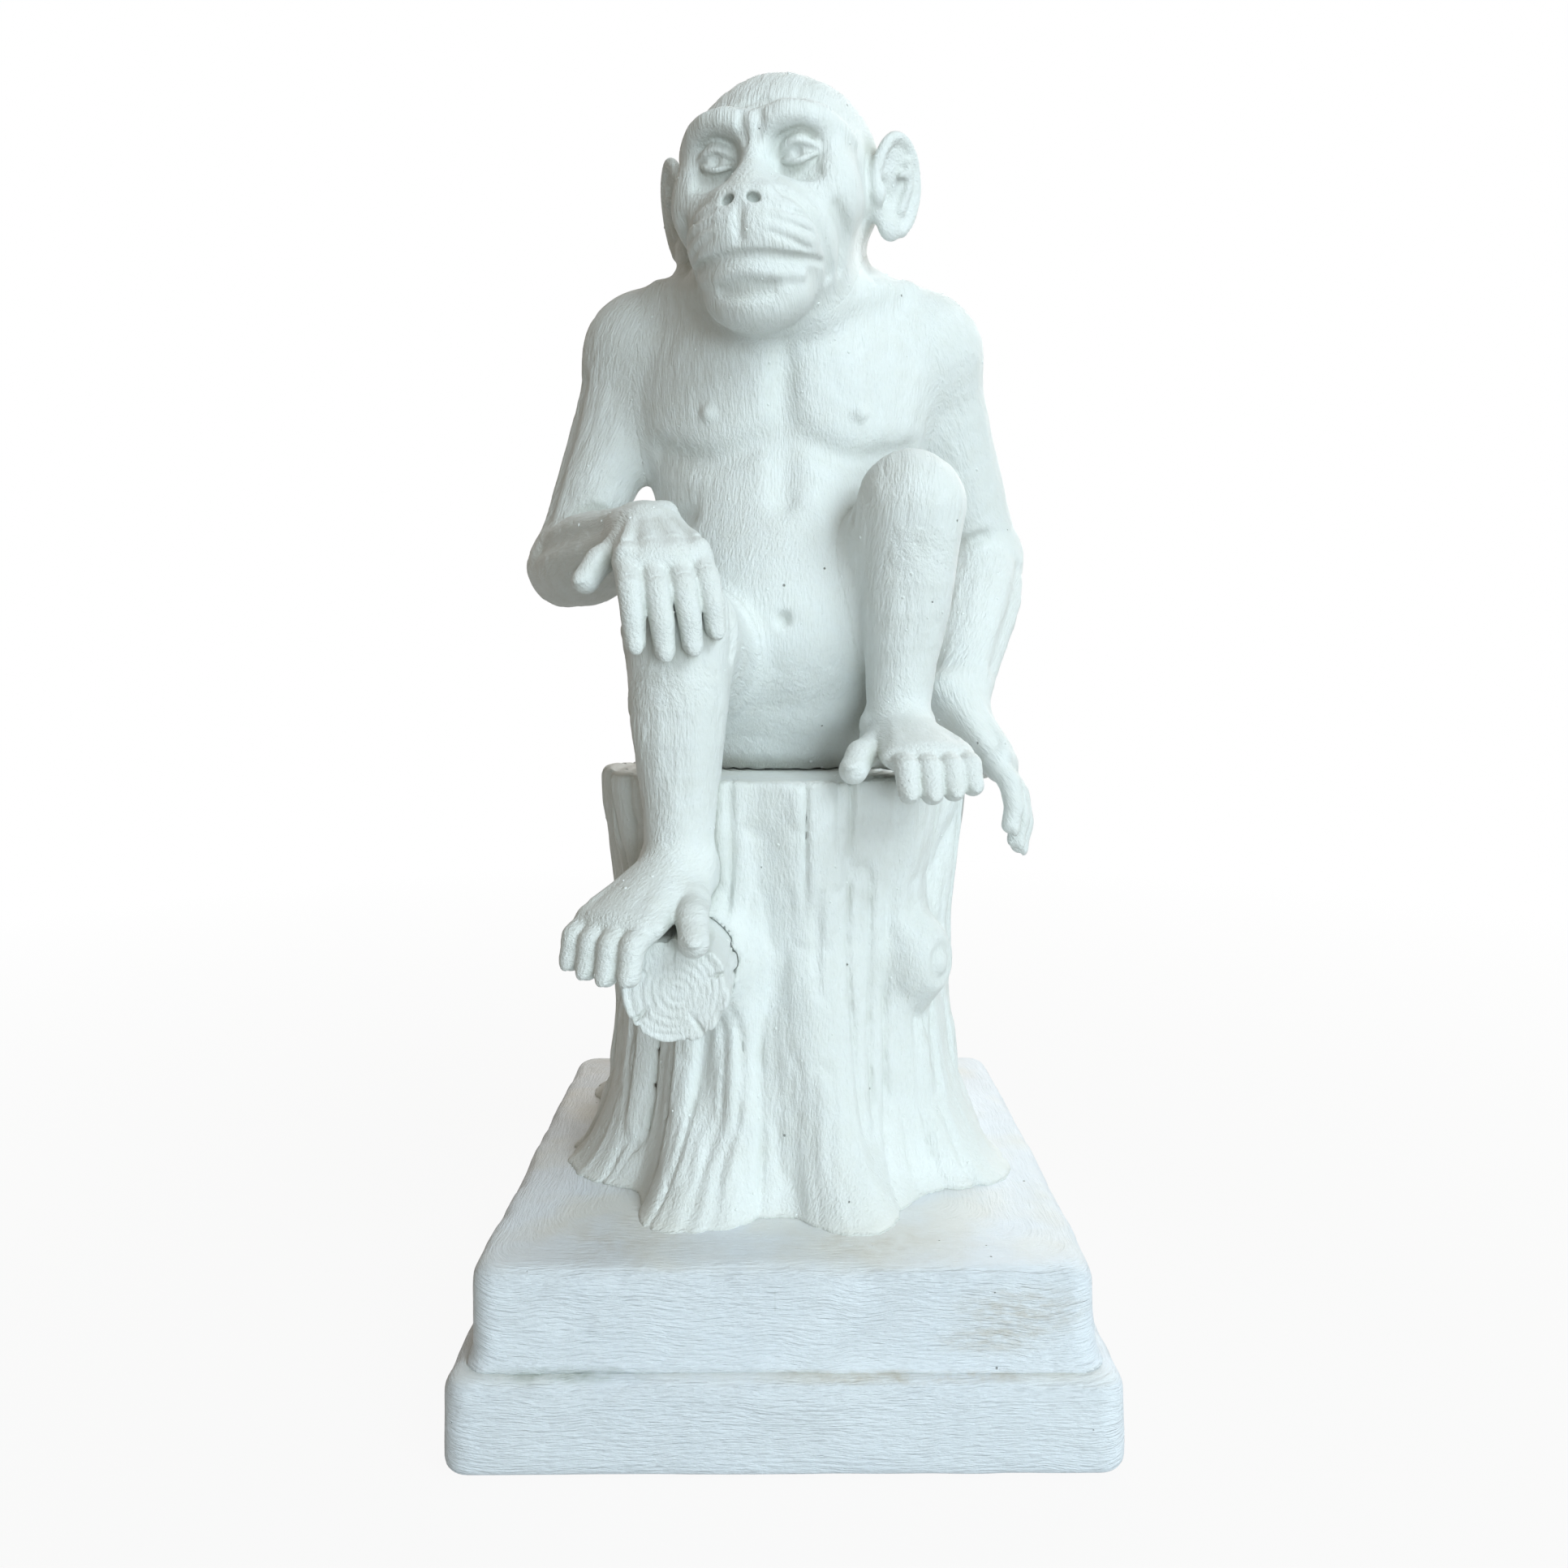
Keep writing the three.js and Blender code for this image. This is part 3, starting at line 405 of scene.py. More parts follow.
def trunk_clay():
    """Belly, chest and back over the spine, with seat, breast, blade and shoulder masses."""
    clay = Clay()

    def spot(x, ahead, rise):
        return at(x, STUMP_BACK + HIP_BACK - ahead * BELLY_DEPTH, SEAT + rise * TRUNK_HEIGHT)

    core = path(
        spot,
        (0, -0.07, 0.09, BELLY_WIDTH * 0.8, BELLY_DEPTH * 0.7),
        (0, -0.02, 0.21, BELLY_WIDTH, BELLY_DEPTH * 0.93),
        (0, 0.1, 0.41, BELLY_WIDTH, BELLY_DEPTH),
        (0, 0.04, 0.62, (BELLY_WIDTH + CHEST_WIDTH) / 2 - 1, (BELLY_DEPTH + CHEST_DEPTH) / 2),
        (0, -0.06, 0.82, CHEST_WIDTH, CHEST_DEPTH),
        (0, -0.02, 0.99, CHEST_WIDTH * 0.93, CHEST_DEPTH * 0.85),
        (0, 0.1, 1.1, CHEST_WIDTH * 0.62, CHEST_DEPTH * 0.6),
    )
    clay.limb(core, 0)
    clay.egg(spot(0, 0.5, 0.36), (BELLY_WIDTH * 0.77, BELLY_DEPTH * 0.76, TRUNK_HEIGHT * 0.2), 14)
    neck_root = HEAD_MIDDLE + at(0, NECK_DEPTH / 2, -NECK_TOP - NECK_DEPTH)
    nape = HEAD_MIDDLE + at(0, NECK_DEPTH * 0.8, -NECK_TOP - 4)
    neck = [(spot(0, 0, 1.01), NECK_WIDTH * 1.2, NECK_DEPTH * 1.1), (neck_root, NECK_WIDTH, NECK_DEPTH)]
    clay.limb(neck, 12)
    clay.limb([(spot(0, -0.3, 1.02), 13), (nape, 9)], 12)
    crest_end = neck_root + at(0, NECK_DEPTH / 3, NECK_DEPTH / 2)
    seat_mass = (BELLY_WIDTH * 0.53, BELLY_DEPTH * 0.67, TRUNK_HEIGHT * 0.155)
    breast = (CHEST_WIDTH * 0.5, CHEST_DEPTH * 0.36, TRUNK_HEIGHT * 0.15)
    blade = (CHEST_WIDTH * 0.42, CHEST_DEPTH * 0.42, TRUNK_HEIGHT * 0.17)
    for side in (-1, 1):
        crest = [
            (lerp(shoulder_of(side), crest_end, share), SHOULDER_RADIUS * 0.9, SHOULDER_RADIUS * 0.84)
            for share in (0.1, 0.5, 0.9)
        ]
        clay.add(Limb(crest, (0, 1, 0)), 10)
        clay.egg(spot(side * HIP_SPREAD * 0.8, -0.26, 0.15), seat_mass, 8)
        clay.egg(spot(side * CHEST_WIDTH * 0.45, 0.48, 0.86), breast, 11, (0, side * 12, side * 14))
        clay.egg(spot(side * CHEST_WIDTH * 0.5, -0.42, 0.88), blade, 9, (0, 0, -side * 8))
    for side in (-1, 1):

        def beside(x, ahead, rise):
            return spot(side * x, ahead, rise)

        collar = path(beside, (6, 0.8, 1.0, 1.6), (17, 0.7, 1.06, 1.4), (29, 0.3, 1.1, 1.2))
        clay.ridge(collar, 6)
        fold = path(beside, (5, 1.0, 0.74, 0.15), (17, 0.9, 0.7, 0.35), (29, 0.5, 0.74, 0.3))
        clay.groove(fold, 7)
        flank = path(beside, (24, 0.75, 0.58, 0.4), (33, 0.2, 0.56, 0.6), (31, -0.4, 0.6, 0.4))
        clay.groove(flank, 6)
        clay.egg(clay.skin(beside(19, 1.0, 0.8)), (1.3, 1.1, 1.3), 2)
        blade_edge = path(beside, (8, -1.2, 1.0, 0.4), (10, -1.3, 0.86, 0.8))
        blade_edge += path(beside, (17, -1.2, 0.72, 0.6), (29, -0.7, 0.72, 0.4))
        clay.groove(blade_edge, 6)
        clay.groove(path(beside, (9, -1.0, 0.3, 0.8), (11, -1.0, 0.26, 0.6)), 4)
    clay.groove(path(spot, (0, 1.0, 0.95, 0.2), (0, 1.1, 0.8, 0.45), (0, 1.2, 0.62, 0.2)), 7)
    spine = path(spot, (0, -1.1, 1.04, 0.7), (0, -1.2, 0.84, 1.3), (0, -1.1, 0.6, 1.5))
    spine += path(spot, (0, -1.1, 0.36, 1.3), (0, -1.1, 0.24, 0.8))
    clay.groove(spine, 8)
    for k in range(7):
        clay.egg(clay.skin(spot(0, -1.2, 0.96 - 0.1 * k)) + at(0, -0.9, 0), (2.1, 1.9, 2.9), 3)
    clay.groove(path(spot, (0, -1.1, 0.19, 1.0), (0, -1.0, 0.12, 1.8), (0, -0.9, 0.03, 2.2)), 3)
    clay.carve(Egg(clay.skin(spot(0, 1.5, 0.33)) + at(0, 0.4, 0), (1.1, 1.7, 1.3)), 2.4)
    return clay


def add_ear(clay, side):
    """A round ear: a cupped flap with a rolled rim, an inner fold, a lobe and the flap in front."""
    turn = (0, side * 6, -side * 34)
    axes = np.array(Euler([math.radians(a) for a in turn]).to_matrix())
    middle = at(side * 24, 3.5, 0.5)

    def place(out, along, rise):
        return middle + axes @ at(side * out, along, rise)

    clay.egg(middle, (1.9, 6.6, 9.4), 1.2, turn)
    clay.egg(place(-1.6, -3.4, -1), (2.6, 3.4, 6), 2, turn)
    clay.carve(Egg(place(2.0, -0.6, 0.4), (1.9, 4.9, 7.4), turn), 1.0)
    clay.carve(Egg(place(0.9, -2.2, -1.2), (1.7, 2.0, 2.8), turn), 0.8)
    rim = []
    for angle in (-62, -35, 0, 35, 65, 90, 115, 142, 170, 192):
        a = math.radians(angle)
        wide = 6.5 if angle < 90 else 5.9
        rim.append((place(0.9 if angle < 150 else 0.4, math.cos(a) * wide, math.sin(a) * 9.3), 1.25))
    clay.limb(rim, 0.9)
    clay.limb(path(place, (1.2, 3.0, 5.2, 0.7), (1.2, 3.9, 1.0, 0.9), (1.0, 2.0, -4.4, 0.9)), 1.0)
    clay.limb(path(place, (1.0, 1.4, 2.4, 0.6), (1.1, 3.2, 2.9, 0.7)), 1.0)
    clay.egg(place(0.3, -0.2, -8.4), (1.5, 2.7, 2.3), 1.4, turn)
    clay.egg(place(1.2, -5.0, -2.4), (1.3, 1.4, 2.2), 1.0, turn)


def add_eye(clay, side):
    """An eyeball with lids that lie on it, a drilled pupil and folds above and below."""
    middle = at(side * 8.4, -15.4, 1.8)
    clay.egg(middle, (4.0, 4.0, 4.0), 0.2)

    def lid(rise, radius, reach=4.3):
        line = []
        for share in (-1, -0.66, -0.33, 0, 0.33, 0.66, 1):
            across = share * 4.2
            up = rise * (1 - share * share) + 0.35 * share * side
            ahead = math.sqrt(max(reach**2 - across**2 - up**2, 0.3))
            line.append((middle + at(across, -ahead, up), radius * (1.1 - 0.5 * abs(share))))
        return Limb(line, steps=2)

    clay.add(lid(2.9, 0.9, 4.5), 0.8)
    clay.add(lid(1.75, 0.85), 0.25)
    clay.add(lid(-1.75, 0.7), 0.3)
    folds = ((3.8, 3.9, -1.4, 0.25, 1.2), (3.8, -3.5, 1.1, 0.3, 1.6), (4.8, -5.6, 1.3, 0.3, 2.0))
    for half, rise, sag, radius, blend in folds:
        fold = [(middle + at(a * half, -4, rise + sag * a * a), radius) for a in (-0.9, -0.3, 0.3, 0.9)]
        clay.groove(fold, blend)
    clay.carve(Egg(middle + at(0, -4, 0.05) + at(0, -0.3, 0), (1.25, 1.3, 1.25)), 0.5)


def head_clay():
    """The head about the middle of its skull, with its face to -Y, as if the skull were 44 mm wide."""
    clay = Clay(HEAD_MIDDLE, HEAD_AXES, HEAD_SCALE)
    masses = [
        ((0, 4, 3), (21.8, 23.8, 20.8), 0),
        ((0, -7, -14), (16.8, 16.8, 15.8), 7),
        ((0, -19, -14.8), (13.8, 13, 12.2), 6),
        ((0, -25, -15), (12.4, 8.6, 8.2), 4),
        ((0, -21, -25), (11, 9, 6.6), 3),
        ((0, -24.4, -28.2), (6, 4.4, 3.4), 3),
    ]
    for mass in masses:
        clay.egg(*mass)
    brow = arch((18, -9.8, 5.6, 2.8, 3), (9, -18, 8.2, 3.6, 3.8), (0, -20, 6.8, 3, 3.2))
    clay.add(Limb(brow, (0, 0, 1)), 3.2)
    for side in (-1, 1):
        clay.egg((side * 13.4, -11.8, -3.8), (7.2, 7.2, 8.6), 5)
        clay.carve(Egg((side * 24.5, -8, 9), (3.6, 8, 9)), 8)
        clay.carve(Egg((side * 8.6, -21.4, 1.6), (5.8, 4.8, 4.0)), 2.4)
    bridge = path(at, (0, -18.6, 4.4, 2.6, 3), (0, -22, -1, 2.3, 2.8))
    clay.limb(bridge + path(at, (0, -27, -6, 3.4, 2.8), (0, -30, -8.2, 3, 2)), 2.6)
    for side in (-1, 1):
        clay.egg((side * 3.7, -28.4, -8.6), (2.8, 3, 2.2), 1.6, (0, 0, side * 25))
        clay.carve(Egg((side * 2.4, -31.4, -9.8), (1.35, 2.0, 0.95), (0, side * 20, side * 20)), 0.7)
        add_eye(clay, side)
    for side in (-1, 1):

        def beside(x, y, z):
            return at(side * x, y, z)

        fold = path(beside, (6.4, -28, -8.2, 0.5), (10.4, -25, -11.6, 0.7))
        fold += path(beside, (14, -20, -16.2, 0.6), (15.4, -16, -21.5, 0.35))
        clay.groove(fold, 2.6)
        clay.groove(path(beside, (15, -16, -8, 0.3), (17, -14, -13, 0.5), (17, -12, -19, 0.3)), 3)
        frown = path(beside, (1.6, -24, 9.4, 0.15), (2, -24, 6.4, 0.35), (1.4, -23, 3.6, 0.15))
        clay.groove(frown, 1.8)
        for k in range(3):
            line = path(beside, (5.6, -32, -11.6 - 2.3 * k, 0.08), (8.4, -30, -12.4 - 2.3 * k, 0.16))
            clay.groove(line + path(beside, (11, -26, -13.4 - 2.2 * k, 0.08)), 1.3)
    for k, rise in enumerate((13.4, 16.0)):
        half = 11 - 2 * k
        clay.groove([((a * half, -20, rise - 1.6 * a * a), 0.1) for a in (-1, -0.5, 0, 0.5, 1)], 1.8)
    corner, bow = (14.2, -18.6, -18.8, 0.3), (12, -25, -19.9, 0.6)
    clay.groove(arch(corner, bow, (7.2, -32, -20.9, 0.75), (0, -34, -20.7, 0.8)), 1.0)
    clay.ridge(arch((10.6, -25.6, -22.6, 0.5), (6.2, -31, -23.4, 0.9), (0, -33, -23.2, 1.0)), 1.8)
    clay.groove(arch((5.4, -30, -26, 0.2), (0, -31, -26.4, 0.35)), 2.4)
    clay.groove(path(at, (0, -34, -12, 0.15), (0, -34.6, -17, 0.2)), 2.2)
    for side in (-1, 1):
        add_ear(clay, side)
    return clay


def add_digit(clay, base, forward, down, lengths, radius, curls, blend):
    """A finger or toe: tapering bones with thicker joints, a nail and the folds over its joints."""
    hinge = unit(np.cross(forward, down))
    direction = forward
    stations = [(base, radius)]
    tip = base
    knots = []
    for i, (length, curl) in enumerate(zip(lengths, curls)):
        angle = math.radians(curl)
        direction = unit(direction * math.cos(angle) + np.cross(hinge, direction) * math.sin(angle))
        stations.append((tip + direction * length * 0.5, radius * (0.9 - 0.07 * i)))
        tip = tip + direction * length
        stations.append((tip, radius * (1.0 - 0.09 * (i + 1))))
        knots.append((tip, direction))
    clay.add(Limb(stations, hinge, steps=2), blend)

    def back_of(line):
        out = unit(np.cross(line, hinge))
        return -out if out @ down > 0 else out

    back = back_of(direction)
    nail = Egg(tip + direction * radius * 0.25 + back * radius * 0.5, radius * at(0.52, 0.62, 0.3))
    nail.axes = np.column_stack([hinge, direction, back])
    clay.add(nail, 0.25)
    for place, line in knots[:-1]:
        for shift in (-0.35, 0.3):
            middle = place + line * radius * shift + back_of(line) * radius * 0.93
            crease = [(middle - hinge * radius * 0.5, 0.12), (middle + hinge * radius * 0.5, 0.12)]
            clay.carve(Limb(crease), 0.5)


def add_hand(clay, wrist, forward, down, thumb_side, curls):
    """A palm with cords and knuckles on its back, four fingers and a thumb."""
    across = unit(np.cross(forward, down)) * thumb_side

    def point(along, side, drop):
        return wrist + forward * along + across * side * PALM_WIDTH + down * drop

    palm = path(
        point,
        (-4, 0, 0, PALM_WIDTH * 0.75, PALM_DEPTH * 1.1),
        (PALM_LENGTH * 0.45, 0, PALM_DEPTH * 0.1, PALM_WIDTH * 0.94, PALM_DEPTH),
        (PALM_LENGTH, 0, PALM_DEPTH * 0.2, PALM_WIDTH, PALM_DEPTH * 0.8),
    )
    clay.add(Limb(palm, across), 3)
    for side, share in ((0.75, 0.92), (0.26, 1.04), (-0.24, 1.0), (-0.71, 0.84)):
        knuckle = point(PALM_LENGTH - 1, side, PALM_DEPTH * 0.2)
        cord_start = (3, side * 0.5, -PALM_DEPTH * 0.72, 0.8)
        clay.limb(path(point, cord_start, (PALM_LENGTH - 3, side, -PALM_DEPTH * 0.55, 1.0)), 1.6)
        clay.egg(point(PALM_LENGTH - 0.6, side, -PALM_DEPTH * 0.16), (2.5, 2.5, 2.5), 1.2)
        spread = unit(forward + across * side * 0.09)
        lengths = [bone * share * FINGER_LENGTH for bone in (0.42, 0.32, 0.26)]
        add_digit(clay, knuckle, spread, down, lengths, FINGER_RADIUS, curls, 0.7)
    thumb = unit(forward * 0.75 + across * 0.65)
    clay.limb(path(point, (0, 0.4, 1, 4.4), (PALM_LENGTH * 0.3, 0.75, 2, 3.6)), 2)
    lengths = [bone * FINGER_LENGTH for bone in (0.38, 0.28)]
    add_digit(clay, point(PALM_LENGTH * 0.2, 0.73, 2), thumb, down, lengths, THUMB_RADIUS, (6, 20), 1.0)


def add_foot(clay, ankle, forward, up, inner, curls):
    """A long sole with ankle bones, sinews and knuckles, four toes and a big toe that stands apart."""
    down = -up
    across = unit(np.cross(forward, down))
    if across @ inner < 0:
        across = -across

    def point(along, side, rise):
        return ankle + forward * along + across * side * SOLE_WIDTH + up * (rise - ANKLE_HEIGHT)

    body = path(
        point,
        (-SOLE_LENGTH * 0.27, 0, ANKLE_HEIGHT * 0.76, SOLE_WIDTH * 0.71, ANKLE_HEIGHT * 0.74),
        (SOLE_LENGTH * 0.08, 0, ANKLE_HEIGHT * 0.8, SOLE_WIDTH * 0.78, ANKLE_HEIGHT * 0.78),
        (SOLE_LENGTH * 0.55, 0, ANKLE_HEIGHT * 0.63, SOLE_WIDTH * 0.88, ANKLE_HEIGHT * 0.61),
        (SOLE_LENGTH, 0, ANKLE_HEIGHT * 0.44, SOLE_WIDTH, ANKLE_HEIGHT * 0.42),
    )
    clay.add(Limb(body, across), 4)
    for side in (-1, 1):
        clay.egg(point(0.5, side * 0.62, ANKLE_HEIGHT * 1.12), (2.6, 3, 3), 2.4)
    heel = path(point, (-6, 0, ANKLE_HEIGHT * 1.7, 1.2), (-9.5, 0, ANKLE_HEIGHT * 1.2, 1.0))
    clay.carve(Limb(heel), 3)
    for side, share in ((0.57, 1.0), (0.12, 1.04), (-0.33, 0.96), (-0.75, 0.82)):
        knuckle = point(SOLE_LENGTH - 1.5, side, ANKLE_HEIGHT * 0.42)
        sinew_start = (7, side * 0.45, ANKLE_HEIGHT * 1.16, 0.9)
        clay.limb(path(point, sinew_start, (SOLE_LENGTH - 3, side, ANKLE_HEIGHT * 0.76, 0.9)), 1.8)
        clay.egg(point(SOLE_LENGTH - 1, side, ANKLE_HEIGHT * 0.55), (2.4, 2.4, 2.2), 1.2)
        spread = unit(forward + across * side * 0.07)
        lengths = [bone * share * TOE_LENGTH for bone in (0.55, 0.45)]
        add_digit(clay, knuckle, spread, down, lengths, TOE_RADIUS, curls, 0.7)
    apart = unit(forward * 0.86 + across * 0.5)
    lengths = [bone * TOE_LENGTH for bone in (0.7, 0.54)]
    knuckle = point(SOLE_LENGTH * 0.42, 0.82, ANKLE_HEIGHT * 0.53)
    clay.limb([(point(2, 0.35, ANKLE_HEIGHT * 0.6), 4.6), (knuckle, 4)], 2.5)
    add_digit(clay, knuckle, apart, down, lengths, BIG_TOE_RADIUS, (4, 22), 1.0)


def arm_clay(shoulder, elbow, wrist, forward, palm, thumb_side, curls):
    """An arm from shoulder to fingertips, with the muscles, the elbow and the grooves between."""
    across = unit(np.cross(elbow - shoulder, wrist - elbow))
    clay = Clay()

    def above(share):
        return lerp(shoulder, elbow, share)

    def below(share):
        return lerp(elbow, wrist, share)

    clay.egg(shoulder, (SHOULDER_RADIUS * 0.97,) * 3, 0)
    upper = [
        (above(0.05), SHOULDER_RADIUS * 0.9, SHOULDER_RADIUS * 0.93),
        (above(0.4), UPPER_ARM_RADIUS * 0.82, UPPER_ARM_RADIUS * 0.94),
        (above(0.8), ELBOW_RADIUS * 0.92, ELBOW_RADIUS * 1.04),
        (elbow, ELBOW_RADIUS * 0.92, ELBOW_RADIUS * 0.92),
    ]
    lower = [
        (elbow, ELBOW_RADIUS * 0.9, ELBOW_RADIUS * 0.92),
        (below(0.28), FOREARM_RADIUS * 0.93, FOREARM_RADIUS * 0.96),
        (below(0.7), FOREARM_RADIUS * 0.74, FOREARM_RADIUS * 0.72),
        (wrist, WRIST_RADIUS, WRIST_RADIUS * 0.82),
    ]
    clay.add(Limb(upper, across), 5)
    clay.add(Limb(lower, across), 3)
    bone, fore = unit(elbow - shoulder), unit(wrist - elbow)
    inside = square(wrist - elbow, bone)
    clay.limb([(above(0.3) + inside * 4, 7), (above(0.62) + inside * 3.6, 6.2)], 4)
    clay.limb([(above(0.3) - inside * 4.4, 7), (above(0.66) - inside * 3.2, 5.6)], 4)
    clay.egg(elbow - (inside * 0.6 - bone * 0.5) * 5.4, (4.4, 4.4, 4.4), 3.5)
    crook = elbow + (inside - bone) * ELBOW_RADIUS
    depth = 0.7 * max(0.2, 1 - bone @ fore)
    clay.groove([(crook - across * 6, depth / 2), (crook, depth), (crook + across * 6, depth / 2)], 3)
    outer = square(across, fore)
    for away in (-1, 1):
        line = ((0.14, FOREARM_RADIUS, 0.3), (0.4, FOREARM_RADIUS, 0.7), (0.8, WRIST_RADIUS, 0.3))
        clay.groove([(below(share) + outer * away * out, radius) for share, out, radius in line], 5)
    parting = ((0.22, 12, 0.4), (0.5, 12, 0.8), (0.82, 10, 0.4))
    clay.groove([(above(share) + across * out, radius) for share, out, radius in parting], 5)
    add_hand(clay, wrist, forward, palm, thumb_side, curls)
    clay.egg(wrist - palm * 3.6 + np.cross(forward, palm) * 4.2 - forward * 3, (2.4, 2.4, 2.4), 2.2)
    return clay


def leg_clay(hip, knee, ankle, forward, up, inner, curls):
    """A leg from hip to toes, with the kneecap, the two heads of the calf and the shin's ridge."""
    clay = Clay()

    def above(share):
        return lerp(hip, knee, share)

    def below(share):
        return lerp(knee, ankle, share)

    thigh = [
        (hip, THIGH_RADIUS * 0.92, THIGH_RADIUS * 0.96),
        (above(0.35), THIGH_RADIUS * 0.92, THIGH_RADIUS * 0.96),
        (above(0.75), KNEE_RADIUS * 1.02, KNEE_RADIUS * 1.06),
        (knee, KNEE_RADIUS * 0.94, KNEE_RADIUS * 0.94),
    ]
    shank = [
        (knee, KNEE_RADIUS * 0.9, KNEE_RADIUS * 0.93),
        (below(0.3), CALF_RADIUS * 0.84, CALF_RADIUS * 0.92),
        (below(0.7), CALF_RADIUS * 0.66, CALF_RADIUS * 0.7),
        (below(0.94), SHIN_RADIUS * 0.9, SHIN_RADIUS * 0.96),
    ]
    clay.limb(thigh, 0)
    clay.limb(shank, 3)
    bone, shin = unit(knee - hip), unit(ankle - knee)
    front = -square(ankle - knee, bone)
    ahead = square(front, shin)
    clay.limb([(above(0.35) + front * 4, 9.5), (above(0.8) + front * 3, 7.4)], 5)
    cap = knee + unit(front + bone * 0.7) * KNEE_RADIUS * 0.42
    clay.egg(cap, (6.2, 6.2, 6.6), 3)
    for side in (-1, 1):
        calf = [
            (below(0.14) - ahead * 4 + at(side * 3.4, 0, 0), 5.4),
            (below(0.42) - ahead * 3.6 + at(side * 3.2, 0, 0), 5.2),
            (below(0.72) - ahead * 2 + at(side * 1.6, 0, 0), 3.4),
        ]
        clay.limb(calf, 3.4)
        hollow = cap + at(side * 7.6, 0, 0)
        clay.groove([(hollow - bone * 3, 0.4), (hollow + shin * 4, 0.8), (hollow + shin * 9, 0.4)], 3.5)
    ridge = [
        (below(0.2) + ahead * CALF_RADIUS * 0.7, 1.6),
        (below(0.55) + ahead * CALF_RADIUS * 0.6, 1.5),
        (below(0.88) + ahead * SHIN_RADIUS * 0.7, 1.3),
    ]
    clay.limb(ridge, 3)
    add_foot(clay, ankle, forward, up, inner, curls)
    return clay


def figure_clays():
    clays = {"torso": trunk_clay(), "head": head_clay()}
    arms = (
        ("left_arm", 1, LEFT_ELBOW, LEFT_WRIST, at(-0.7, 0.1, -0.6), (6, 20, 22)),
        ("right_arm", -1, RIGHT_ELBOW, RIGHT_WRIST, at(0.15, -0.2, -1), (22, 26, 22)),
    )
    for name, side, elbow, wrist, palm, curls in arms:
        forward = REACHES[name]
        palm = square(palm, forward)
        clays[name] = arm_clay(shoulder_of(side), elbow, wrist, forward, palm, side, curls)
    legs = (
        ("left_leg", 1, LEFT_KNEE, LEFT_ANKLE, (14, 50)),
        ("right_leg", -1, RIGHT_KNEE, RIGHT_ANKLE, (16, 50)),
    )
    for name, side, knee, ankle, curls in legs:
        forward = REACHES[name]
        up = square(at(0, 0, 1), forward)
        clays[name] = leg_clay(hip_of(side), knee, ankle, forward, up, at(-side, 0, 0), curls)
    return clays


# The stump, as a radius round its axis


def stump_radius(angle, height):
    """The radius with its flare, roots and ridges, without the bark's furrows."""
    share = height / (SEAT - CAP_TOP)
    flare = np.exp(-np.clip(height, 0, None) / ROOT_HEIGHT)
    radius = STUMP_WAIST + STUMP_SWELL * flare + (STUMP_TOP - STUMP_WAIST) * step(share, 0.6, 1.0)
    degrees = np.degrees(angle)
    for root_angle, reach, spread in ROOTS:
        away = (degrees - root_angle + 180) % 360 - 180
        radius = radius + reach * flare * np.exp(-((away / spread) ** 2))
    ridge = np.sin(BARK_RIDGES * angle + 1.6 * np.sin(3 * angle) + 2.2 * share)
    return radius + BARK_DEPTH * ridge


def furrows(angle, girth, width, along, seed):
    """1 in furrows that run along a trunk and part and meet, and 0 between them."""
    around = [np.cos(angle) * girth / width, np.sin(angle) * girth / width]
    return np.clip(1 - np.abs(noise(np.column_stack([*around, along]), seed)) * 2.6, 0, 1)


def checks(x, y, waver, ways):
    """For each drying check in a sawn end: how far points are beside it and along it, and its length."""
    for way, length in ways:
        turn = math.radians(way)
        off = np.abs(-x * math.sin(turn) + y * math.cos(turn) + waver)
        yield off, x * math.cos(turn) + y * math.sin(turn), length


class Stump:
    """The stump with its bark, roots and sawn top, which has rings and checks."""

    def __init__(self):
        reach = STUMP_TOP + 18
        self.low = at(-reach, STUMP_BACK - reach, CAP_TOP - 0.5)
        self.high = at(reach, STUMP_BACK + reach, SEAT)

    def distance(self, points):
        local = points - at(0, STUMP_BACK, 0)
        x, y, z = local.T
        out = np.hypot(x, y)
        angle = np.arctan2(y, x)
        height = z - CAP_TOP
        radius = stump_radius(angle, height) - 0.6 + 1.8 * np.exp(-np.clip(height, 0, None) / 1.5)
        sway = 2.4 * noise(local / (16, 16, 26), 3)
        furrow = furrows(angle, BARK_GIRTH, 5.2, (z + sway * 4) / 30, 5) ** 2
        fine = furrows(angle, BARK_GIRTH, 2.3, z / 13, 9)
        plates = noise(local / (9, 9, 12), 12)
        radius = radius - 1.5 * furrow - 0.5 * fine + 0.5 * plates
        side = (out - radius) * 0.8
        grain = out + 1.1 * noise(local / (15, 15, np.inf), 14)
        rings = 0.22 * np.cos(grain * 2 * np.pi / STUMP_RING) * step(out, STUMP_WOOD, 40)
        sunk = 1.0 * step(out, 44.5, 42.5)
        check = np.zeros(len(x))
        for off, forth, length in checks(x, y, 0.8 * noise(local / (5, 5, np.inf), 20), STUMP_CHECKS):
            width = 0.01 + 1.1 * step(forth, STUMP_WOOD - length, STUMP_WOOD)
            depth = 1.6 * step(off, width, 0) * step(forth, STUMP_WOOD - length, 40)
            check = np.maximum(check, np.where(forth > 0, depth, 0))
        top = z - (SEAT - 0.3 - sunk + rings - check)
        d = -blended(-side, -top, 2.0)
        return np.maximum(d, CAP_TOP - 0.5 - z)


